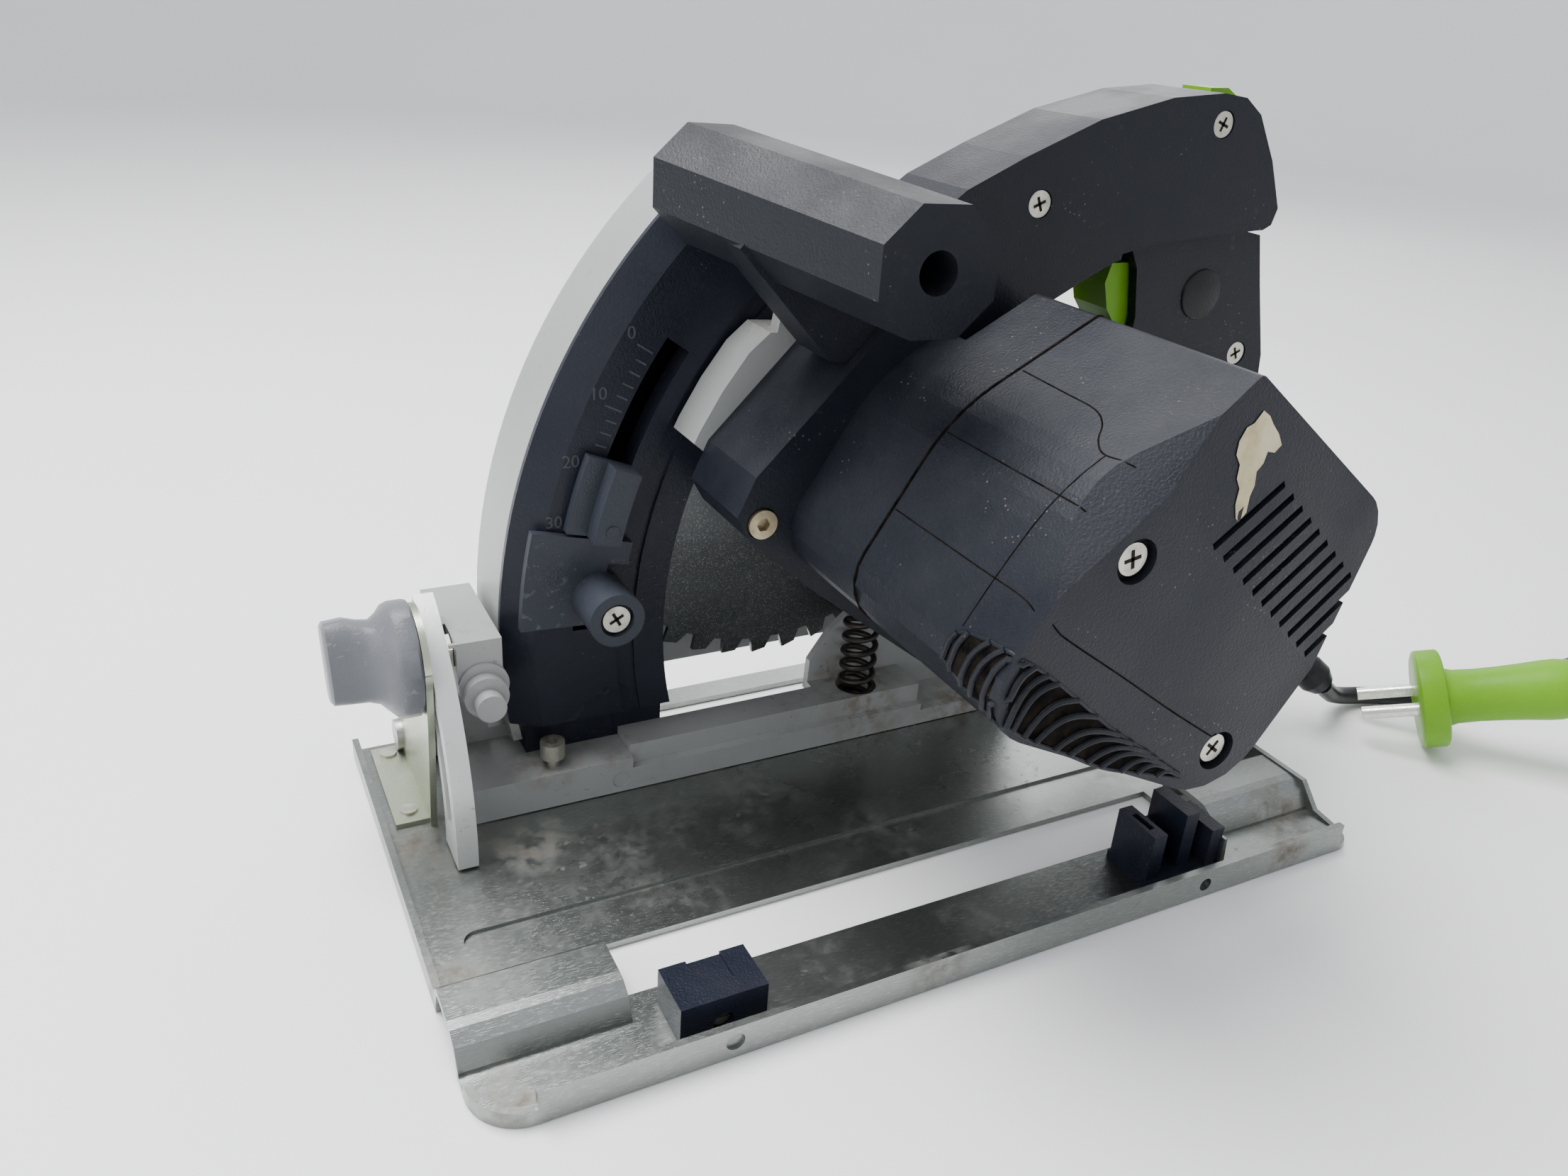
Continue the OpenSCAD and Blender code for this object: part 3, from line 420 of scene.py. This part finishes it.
LEAD_D = 6.8
ROUTE = [
    (190, -21, 18.7), (198.5, -18.5, 12.4), (206, -15.5, 7.8), (214.5, -14.2, 4.8), (225, -15.4, 3.6),
    (236, -20.4, 3.5), (248, -27.5, 3.5), (262, -30.5, 3.5), (280, -31, 3.5), (300, -31, 3.5),
    (320, -31, 3.5), (340, -31, 3.5), (360, -31, 3.5), (375, -31, 3.5), (388, -31, 3.5),
]  # fmt: skip
TAIL = [
    (274.6, -96.6, 45.2), (281, -102.9, 47.8), (289, -110, 48), (298, -116.5, 43.5), (307.5, -122, 35),
    (318, -126.5, 24), (329, -129.5, 13.5), (341, -131.5, 6), (354, -133, 3.5), (367, -133.5, 3.5),
    (382, -133, 4.6), (398, -132, 8.5), (413.5, -129, 15), (426, -121.5, 22.5), (435.5, -110.5, 30),
    (439, -97, 36.5),
]  # fmt: skip
COIL_AT = (400, -75)
COIL_R = 37.2
COIL_COLS, COIL_ROWS = 3, 6
COIL_LAST = math.radians(112)  # the part of a turn in the top row
TURN_STEPS = 48


def coil_points():
    """Turns that go inwards and outwards by turns, a row at a time, and part of a turn on top."""
    full = COIL_COLS * (COIL_ROWS - 1)
    lanes = []
    for row in range(COIL_ROWS - 1):
        order = range(COIL_COLS) if row % 2 == 0 else range(COIL_COLS - 1, -1, -1)
        lanes += [(COIL_R + (1 - lane) * LEAD_D, LEAD_D * (row + 0.5)) for lane in order]
    lanes.append((COIL_R + LEAD_D, LEAD_D * (COIL_ROWS - 0.5)))
    made = []
    last_steps = round(TURN_STEPS * COIL_LAST / (2 * math.pi))
    for i in range(full * TURN_STEPS + last_steps + 1):
        turn, step = divmod(i, TURN_STEPS)
        here, before = lanes[turn], lanes[max(turn - 1, 0)]
        share = min(1.0, step / (TURN_STEPS * 0.3))
        share = share * share * (3 - 2 * share)
        r, z = (b + (h - b) * share for h, b in zip(here, before))
        a = math.pi / 2 - 2 * math.pi * i / TURN_STEPS
        made.append((COIL_AT[0] + r * math.cos(a), COIL_AT[1] + r * math.sin(a), z))
    return made


def eased(path, spacing=2 * MM, passes=12):
    """The path in even steps, with each point eased towards its neighbours."""
    made, wait = [path[0].copy()], spacing
    for a, b in zip(path, path[1:]):
        length, done = (b - a).length, 0.0
        while length - done >= wait:
            done += wait
            made.append(a.lerp(b, done / length))
            wait = spacing
        wait -= length - done
    made.append(path[-1].copy())
    for _ in range(passes):
        inner = [0.25 * a + 0.5 * b + 0.25 * c for a, b, c in zip(made, made[1:], made[2:])]
        made = [made[0], *inner, made[-1]]
    return made


def make_lead():
    """The lead from the boot along the table, through its coil and back to the plug."""
    whole = ROUTE + coil_points()[::4] + TAIL[::-1]
    path = eased(smooth_path([Vector(p) * MM for p in whole], 4))
    curve = bpy.data.curves.new("lead", "CURVE")
    curve.dimensions = "3D"
    curve.bevel_depth = LEAD_D / 2 * MM
    curve.bevel_resolution = 4
    curve.use_fill_caps = True
    line = curve.splines.new("POLY")
    line.points.add(len(path) - 1)
    for point, place in zip(line.points, path):
        point.co = (*place, 1)
    line.use_smooth = True
    lead = bpy.data.objects.new("lead", curve)
    bpy.context.collection.objects.link(lead)
    curve.materials.append(MATERIALS["lead"])
    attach(lead, "base")
    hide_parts("lead_tube", "lead_coil", "lead_tail")
    return lead


lead = make_lead()


PLUG_AT = (217.8, -40.7, 17.5)
PLUG_TURN, PLUG_LIFT, PLUG_ROLL = math.radians(-44.5), math.radians(-19), math.radians(-6)
RELIEF_RIBS = 6


def plug_place():
    """Local x runs from the plug's face to its lead end."""
    return (
        Matrix.Translation(Vector(PLUG_AT) * MM)
        @ Matrix.Rotation(PLUG_TURN, 4, "Z")
        @ Matrix.Rotation(PLUG_LIFT, 4, "Y")
        @ Matrix.Rotation(PLUG_ROLL, 4, "X")
        @ Matrix.Scale(MM, 4)
    )


def make_plug():
    """A contour plug as one turned shape: round face, waisted body and ribbed bend relief."""
    face = [(0, 15.8), (0.5, 17.4), (1.2, 18.1), (8.2, 18.1), (9, 17.6), (9.5, 16.5), (9.8, 13), (10.2, 10.8)]
    waist = [(13, 10.0), (20, 9.7), (28, 9.9), (36, 10.4), (42, 10.9)]
    shoulder = [(46, 11), (50, 10.4), (56, 8.9), (61, 7.4)]
    relief = []
    for i in range(RELIEF_RIBS):
        start, rib, groove = 62 + 3.5 * i, 6.9 - 0.38 * i, 5.8 - 0.3 * i
        relief += [(start, rib), (start + 2.2, rib - 0.1), (start + 2.4, groove), (start + 3.3, groove)]
    relief.append((86, 4.2))
    profile = face + waist + shoulder + relief
    plug = turned_piece("plug_shell", profile, plug_place(), "green", "base", sides=64)
    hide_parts("plug_body")
    return plug


plug = make_plug()

# ---------- return spring ----------


def make_spring():
    """A round-wire coil of even pitch between the frame's well and the arm's seat."""
    low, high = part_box("return_spring")
    wire = 1.1 * MM
    cx, cy = (low.x + high.x) / 2, (low.y + high.y) / 2
    radius = (high.x - low.x) / 2 - wire
    turns, steps = 9, 28
    path = []
    for i in range(turns * steps + 1):
        a = 2 * math.pi * i / steps
        share = i / (turns * steps)
        z = low.z + wire + (high.z - low.z - 2 * wire) * share
        path.append(Vector((cx + radius * math.cos(a), cy + radius * math.sin(a), z)))
    spring = swept("spring_wire", path, wire, "spring", "swivel", sides=10)
    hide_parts("return_spring")
    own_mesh(spring)


make_spring()

# ---------- scale on the guard ----------


def middle_of(node):
    """The middle of a node's box, seen from the motor side: x and z."""
    low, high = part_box(node)
    return (low.x + high.x) / 2, (low.z + high.z) / 2


PIVOT = middle_of("plunge_pin")
GUARD_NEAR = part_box("guard_half")[0].y


def on_guard(radius, degrees, y):
    """A point on the guard at a radius from the plunge pivot and an angle above the forward direction."""
    a = math.radians(degrees)
    return Vector((PIVOT[0] - radius * MM * math.cos(a), y, PIVOT[1] + radius * MM * math.sin(a)))


# Faces of a box, whose points go round one side and then round the opposite one
BOX = ((0, 1, 2, 3), (7, 6, 5, 4), (0, 4, 5, 1), (1, 5, 6, 2), (2, 6, 7, 3), (3, 7, 4, 0))


def box_faces(first):
    """The faces of a box whose eight points start at first."""
    return [tuple(first + i for i in face) for face in BOX]


RAISED = 0.25 * MM  # how far strokes and figures stand off the guard
TICKS, TICK_FIRST, TICK_LAST = 16, 32.4, 12.9  # angles in degrees
TICK_R, TICK_HALF = 167.2, 0.09
TICK_LONG, TICK_SHORT = 5.5, 3.6
FIGURE_R, FIGURE_SIZE = 176, 5.2 * MM
FIGURES = (("0", 32.4), ("10", 26.0), ("20", 19.1), ("30", 12.9))


def make_ticks():
    """Raised strokes beside the stop's slot, evenly spaced from figure 0 to figure 30, every fifth one long."""
    points, faces = [], []
    for i in range(TICKS):
        degrees = TICK_FIRST + (TICK_LAST - TICK_FIRST) * i / (TICKS - 1)
        end = TICK_R + (TICK_LONG if i % 5 == 0 else TICK_SHORT)
        corners = ((TICK_R, -TICK_HALF), (end, -TICK_HALF), (end, TICK_HALF), (TICK_R, TICK_HALF))
        for y in (GUARD_NEAR - RAISED, GUARD_NEAR + 0.4 * MM):
            points += [on_guard(r, degrees + d, y) for r, d in corners]
        faces += box_faces(8 * i)
    add_mesh("scale_ticks", points, faces, "figures", "swivel", smooth=False)


def make_digits():
    """Raised depth figures, upright to someone who reads from the motor side."""
    for figure, degrees in FIGURES:
        curve = bpy.data.curves.new("figure_" + figure, "FONT")
        curve.body = figure
        curve.size = FIGURE_SIZE
        curve.extrude = RAISED
        curve.align_x, curve.align_y = "CENTER", "CENTER"
        obj = bpy.data.objects.new("figure_" + figure, curve)
        bpy.context.collection.objects.link(obj)
        curve.materials.append(MATERIALS["figures"])
        upright = Matrix.Rotation(math.radians(90), 4, "X")
        obj.matrix_world = Matrix.Translation(on_guard(FIGURE_R, degrees + 0.6, GUARD_NEAR)) @ upright
        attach(obj, "swivel")


make_ticks()
make_digits()

# ---------- screw heads ----------


def cross_recess(name, centre, y, size, body, turn=0.5):
    """A dark cross of painted shade, for the recess in a screw head that faces the motor side."""
    points, faces = [], []
    for k in range(2):
        a = turn + k * math.pi / 2
        u = Vector((math.cos(a), 0, math.sin(a)))
        v = Vector((-math.sin(a), 0, math.cos(a)))
        for depth in (y - 0.06 * MM, y + 0.5 * MM):
            for s, t in ((-1, -0.2), (1, -0.2), (1, 0.2), (-1, 0.2)):
                points.append(Vector((centre[0], depth, centre[1])) + size * (s * u + t * v))
        faces += box_faces(8 * k)
    add_mesh(name, points, faces, "recess", body, smooth=False)


# Where the heads of the screws are, in x and z, and for the handle's also how far out they lie, in y
CAP_SCREWS = ((-3, 134.6), (37, 77))
HANDLE_SCREWS = ((42, 191, 3.4), (105, 213, 3.4), (137, 141.5, 8.4))


def make_recesses():
    """A cross of painted shade in each screw head, turned differently in each."""
    cross_recess("post_cross", middle_of("post_screw"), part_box("post_screw")[0].y, 2.4 * MM, "slider")
    cap_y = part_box("cap_screws")[0].y
    for i, (x, z) in enumerate(CAP_SCREWS):
        cross_recess(f"cap_cross_{i}", (x * MM, z * MM), cap_y, 2.3 * MM, "head", turn=0.2 + 0.7 * i)
    for i, (x, z, y) in enumerate(HANDLE_SCREWS):
        cross_recess(f"handle_cross_{i}", (x * MM, z * MM), y * MM, 2.1 * MM, "head", turn=0.4 + 0.8 * i)


make_recesses()

# ---------- motor: seams, louvres, chip ----------

# Corners of the motor's outline and their radii, in x and z
MOTOR = ((-40.7, 101.3, 14), (-10.9, 149, 50), (30.3, 171.3, 2), (88, 131, 9), (41, 61, 20))
MOTOR_MIDDLE = Vector((24, 118))
JOINT_Y = -41.5
JOINT_R, SEAM_R, RIM_R, LOUVRE_R = 0.55 * MM, 0.26 * MM, 0.55 * MM, 0.8 * MM


def rounded_corner(before, corner, after, radius, steps=6):
    """Points round a corner of an outline."""
    a, b, c = (Vector(p) for p in (before, corner, after))
    u, v = (a - b).normalized(), (c - b).normalized()
    half = u.angle(v) / 2
    centre = b + (u + v).normalized() * radius / math.sin(half)
    start, end = b + u * radius / math.tan(half) - centre, b + v * radius / math.tan(half) - centre
    return [centre + (start.lerp(end, k / steps)).normalized() * radius for k in range(steps + 1)]


def motor_line(first, last, y, sink=0.15):
    """The motor's outline at one y, from one corner to another, sunk a little into the surface."""
    made = []
    for k in range(first, last + 1):
        before, corner, after = (MOTOR[(k + d) % len(MOTOR)] for d in (-1, 0, 1))
        for p in rounded_corner(before[:2], corner[:2], after[:2], corner[2]):
            p = p + (MOTOR_MIDDLE - p).normalized() * sink
            made.append(Vector((p.x, y, p.y)) * MM)
    return made


def surface_of(*nodes):
    """The joined surface of CAD nodes, to lay pieces on."""
    points, faces = [], []
    for node in nodes:
        obj = NODES[node]
        first = len(points)
        points += [obj.matrix_world @ v.co for v in obj.data.vertices]
        faces += [tuple(first + i for i in f.vertices) for f in obj.data.polygons]
    return BVHTree.FromPolygons(points, faces)


CAP = surface_of("end_cap", "motor_housing")


def lay(points, lift):
    """Points in millimetres moved to the motor's nearest surface, and lifted off it."""
    made = []
    for p in points:
        place, normal, _, _ = CAP.find_nearest(Vector(p) * MM)
        made.append(place + normal * lift * MM)
    return made


# Thin lines on the motor's near side
SEAMS = {
    "seam_upper": [(-12.6, -42.5, 144.6), (-12.6, -60, 144.6), (-12.6, -80, 144.6), (-12.6, -95, 144.6)],
    "seam_lower": [(-25.3, -42.5, 125.8), (-25.3, -60, 125.8), (-25.3, -80, 125.8), (-25.3, -95, 125.8),
                   (-22, -102, 121.6), (-17.7, -103, 118), (0, -103, 105.6), (17.9, -103, 92.8),
                   (36, -103, 80.5)],
    "seam_cap": [(-2.7, -87.5, 153), (-12.4, -86.3, 145), (-20, -85, 134), (-25.7, -84.4, 125.4),
                 (-32, -84.2, 115)],
    "seam_band": [(7.5, -43, 158.6), (6.7, -60, 158.3), (6, -72, 158), (3.5, -78, 156.6), (-0.5, -82, 154.4),
                  (-2.7, -87, 153.2), (-1, -95, 153.2)],
}  # fmt: skip


def add_seams():
    """Dark joint lines of the motor housing."""
    swept("seam_joint", motor_line(0, 2, JOINT_Y), JOINT_R, "seam", "head", sides=6)
    for name, places in SEAMS.items():
        path = lay(smooth_path(places, 6), -0.12)
        swept(name, path, SEAM_R, "seam", "head", sides=6)


LOUVRES = 17
# The louvred patch's two long sides, round the motor's lower front corner and along the cap's edge
HOLLOW_LOW = [
    (-34.3, -81, 107), (-34.2, -88, 103.4), (-33.6, -97, 101.4), (-31, -103, 99.4), (-24, -103, 94.4),
    (-12, -103, 87.8), (0, -103, 81.2), (14, -103, 76), (26, -103, 71.6),
]  # fmt: skip
HOLLOW_HIGH = [
    (-34.2, -81.5, 109.5), (-32.6, -86, 114.6), (-31.4, -99, 116.4), (-25.5, -103, 113), (-16.3, -103, 105.8),
    (0.4, -103, 91.5), (12.6, -103, 82.7), (20.1, -103, 76.8), (26, -103, 72.4),
]  # fmt: skip


def add_louvres():
    """Curved ribs over a dark patch of painted shade, laid on the motor where the real one has a hollow."""
    low, high = smooth_path(HOLLOW_LOW, 8), smooth_path(HOLLOW_HIGH, 8)
    across = 12
    points, faces = [], []
    for a, b in zip(low, high):
        points += lay([a.lerp(b, k / across) for k in range(across + 1)], 0.15)
    for i in range(len(low) - 1):
        for k in range(across):
            j = i * (across + 1) + k
            faces.append((j, j + 1, j + across + 2, j + across + 1))
    # Painted shade: a near-black patch stands for the shade in the hollow between the ribs.
    add_mesh("louvre_painted_shade", points, faces, "seam", "head")
    for name, side in (("louvre_rim_low", low), ("louvre_rim_high", high)):
        swept(name, lay(side, 0.1), RIM_R, "housing", "head", sides=8)
    last = len(low) - 1
    for i in range(LOUVRES):
        share = (i + 0.5) / LOUVRES * 0.93
        a, b = low[round(share * last)], high[min(last, round(share * last) + 4)]
        rise = Vector((-1.0, 0, 3.0)) * min(1.0, (b - a).length / 15)
        path = lay([a.lerp(b, t / 10) + rise * math.sin(math.pi * t / 10) for t in range(11)], 0.35)
        swept(f"louvre_{i:02d}", path, LOUVRE_R, "grip", "head", sides=8)


# The chip's rim, in x and z
CHIP = [
    (24.2, 158), (26.5, 160.8), (29, 161.5), (32, 164), (34.5, 162.5), (36, 160.5), (38.5, 158), (40, 155.3),
    (37.6, 153.8), (35, 154.4), (33.8, 151.8), (31.6, 150.2), (31.4, 147), (30, 144.6), (29.3, 141),
    (27.4, 138.6), (25.6, 140.2), (25, 143.5), (25.9, 147), (24.6, 149.5), (25.2, 152.6), (23.6, 155),
]  # fmt: skip


def add_chip():
    """A pale patch laid on the cap's upper corner, for the chip that shows filler."""
    s = Shader("filler")
    tone = s.mix(s.noise(120, 0.35, 0.65), (0.42, 0.35, 0.19), (0.60, 0.54, 0.36))
    MATERIALS["filler"] = s.finish(tone, 0.7, s.bump(s.noise(260), 0.0006))
    points = lay([(x, -101, z) for x, z in CHIP], 0.2)
    add_mesh("chip", points, [tuple(range(len(points)))], "filler", "head", smooth=False)


add_seams()
add_louvres()
add_chip()

# ---------- clamp knob ----------

# Share of the length, half thickness, half height, height shift, squareness
KNOB_SECTIONS = (
    (0.00, 6.0, 11.0, 2.0, 4),
    (0.03, 7.2, 12.0, 2.0, 4),
    (0.25, 7.6, 12.4, 2.0, 4),
    (0.42, 8.4, 12.0, 1.2, 3),
    (0.55, 10.5, 12.4, 0.4, 2.4),
    (0.64, 13.5, 14.5, 0, 2),
    (0.72, 16.8, 17.0, 0, 2),
    (0.80, 17.8, 17.8, 0, 2),
    (0.97, 17.8, 17.8, 0, 2),
    (1.00, 17.0, 17.0, 0, 2),
)
KNOB_AXIS = (45 * MM, 58 * MM)  # y and z
KNOB_TURN = math.radians(-20)


def reach(angle, power):
    """How far a rounded square of half width 1 reaches at an angle. Power 2 gives a circle."""
    return (abs(math.cos(angle)) ** power + abs(math.sin(angle)) ** power) ** (-1 / power)


def add_knob():
    """A wing knob: a lobed flange that narrows to a neck and widens into a flat wing."""
    low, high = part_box("bevel_knob")
    cy, cz = KNOB_AXIS
    cos_turn, sin_turn = math.cos(KNOB_TURN), math.sin(KNOB_TURN)
    sides = 72
    points = []
    for share, half_y, half_z, shift, square in KNOB_SECTIONS:
        x = low.x + (high.x - low.x) * share
        lobe = 0.035 if 0.7 < share < 0.99 else 0.0
        for k in range(sides):
            a = 2 * math.pi * k / sides
            c, s = math.cos(a), math.sin(a)
            r = reach(a, square) * (1 - lobe * (1 - math.cos(6 * a)) / 2)
            y, z = half_y * r * c * MM, (half_z * r * s + shift) * MM
            points.append((x, cy + y * cos_turn - z * sin_turn, cz + y * sin_turn + z * cos_turn))
    knob = add_mesh("knob_wing", points, ring_faces(len(KNOB_SECTIONS), sides), "knob", "knob")
    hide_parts("bevel_knob")


add_knob()

# ---------- small pieces ----------

DISC_AT = (115, 8, 162)
DISC_R, DISC_H = 8, 0.7


def add_disc():
    """The plain round boss with a rounded rim on the handle's rear leg."""
    facing = Matrix.Rotation(-math.pi / 2, 4, "Z") @ Matrix.Scale(MM, 4)
    place = Matrix.Translation(Vector(DISC_AT) * MM) @ facing
    rim = [(DISC_H * math.sin(a), DISC_R - DISC_H + DISC_H * math.cos(a)) for a in (0, 0.5, 1.0, 1.35)]
    profile = [(0, DISC_R), *rim, (DISC_H, 0.3)]
    turned_piece("leg_disc", profile, place, "black_plastic", "head")


add_disc()

TIE_AT = math.radians(200)
TIE_POINTS = 24
TIE_HALF_WIDTH = 4


def add_tie():
    """A strap round the lead's coil, flattened where it would go below the table."""
    half_wide, half_high = COIL_COLS * LEAD_D / 2 + 1.2, COIL_ROWS * LEAD_D / 2 - 2.6
    out = Vector((math.cos(TIE_AT), math.sin(TIE_AT), 0))
    middle = Vector((*COIL_AT, (COIL_ROWS - 1) * LEAD_D / 2)) + out * COIL_R
    along = out.cross(Vector((0, 0, 1)))
    ring = []
    for k in range(TIE_POINTS):
        t = 2 * math.pi * k / TIE_POINTS
        c, s = math.cos(t), math.sin(t)
        r = reach(t, 5)
        ring.append(out * r * c * half_wide + Vector((0, 0, r * s * half_high)))
    points = []
    for side in (-TIE_HALF_WIDTH, TIE_HALF_WIDTH):
        for grow in (1.0, 1.06):
            points += [(middle + p * grow + along * side) * MM for p in ring]
    for p in points:
        p.z = max(p.z, 0.1 * MM)
    n = TIE_POINTS
    faces = []
    for k in range(n):
        j = (k + 1) % n
        faces += [(k, j, 2 * n + j, 2 * n + k), (n + j, n + k, 3 * n + k, 3 * n + j)]
        faces += [(j, k, n + k, n + j), (2 * n + k, 2 * n + j, 3 * n + j, 3 * n + k)]
    add_mesh("coil_tie", points, faces, "black_plastic", "base")


add_tie()

# ---------- stage and light ----------

FLOOR_DROP = 0.3 * MM
FLOOR_FLAT, FLOOR_BEND, WALL_TOP = 2.4, 0.8, 2.4
FLOOR_SIDES, BEND_STEPS = 96, 12


def make_floor():
    """A pale floor that rises into a round wall."""
    s = Shader("floor")
    tone = s.mix(s.noise(3, 0.3, 0.7), (0.90, 0.90, 0.895), (0.87, 0.87, 0.865))
    floor_material = s.finish(tone, 0.45)
    angles = [math.pi / 2 * k / BEND_STEPS for k in range(BEND_STEPS + 1)]
    bend = [(FLOOR_FLAT + FLOOR_BEND * math.sin(a), FLOOR_BEND - FLOOR_BEND * math.cos(a)) for a in angles]
    profile = [(0.01, 0), (1.2, 0), *bend, (FLOOR_FLAT + FLOOR_BEND, WALL_TOP)]
    sides = FLOOR_SIDES
    points, faces = [], []
    for r, z in profile:
        for k in range(sides):
            a = 2 * math.pi * k / sides
            points.append((r * math.cos(a), r * math.sin(a), z))
    for i in range(len(profile) - 1):
        for k in range(sides):
            j = (k + 1) % sides
            faces.append((i * sides + k, (i + 1) * sides + k, (i + 1) * sides + j, i * sides + j))
    faces.append(tuple(range(sides)))
    mesh = bpy.data.meshes.new("floor")
    mesh.from_pydata(points, [], faces)
    for polygon in mesh.polygons:
        polygon.use_smooth = True
    floor = bpy.data.objects.new("floor", mesh)
    bpy.context.collection.objects.link(floor)
    mesh.materials.append(floor_material)
    floor.location.z = -FLOOR_DROP


LIGHTS = (
    ("key", (-0.35, 0.35, 1.2), 0.9, 32),
    ("fill", (-1.3, -0.3, 0.7), 1.0, 8),
    ("back", (0.9, 1.1, 0.9), 1.0, 6),
)
LIT_POINT = Vector((0.03, 0, 0.1))


def make_lights():
    """Soft light from all round, and from above, the left and behind."""
    world = bpy.data.worlds.new("studio")
    bpy.context.scene.world = world
    world.use_nodes = True
    background = world.node_tree.nodes["Background"]
    background.inputs["Color"].default_value = (0.92, 0.94, 1.0, 1)
    background.inputs["Strength"].default_value = 1.0
    for name, at, size, power in LIGHTS:
        data = bpy.data.lights.new(name, "AREA")
        data.shape, data.size, data.energy = "DISK", size, power
        lamp = bpy.data.objects.new(name, data)
        bpy.context.collection.objects.link(lamp)
        lamp.location = at
        lamp.rotation_euler = (LIT_POINT - Vector(at)).to_track_quat("-Z", "Y").to_euler()


make_floor()
make_lights()


def write_sizes():
    """Imports json and does nothing else."""
    import json


write_sizes()
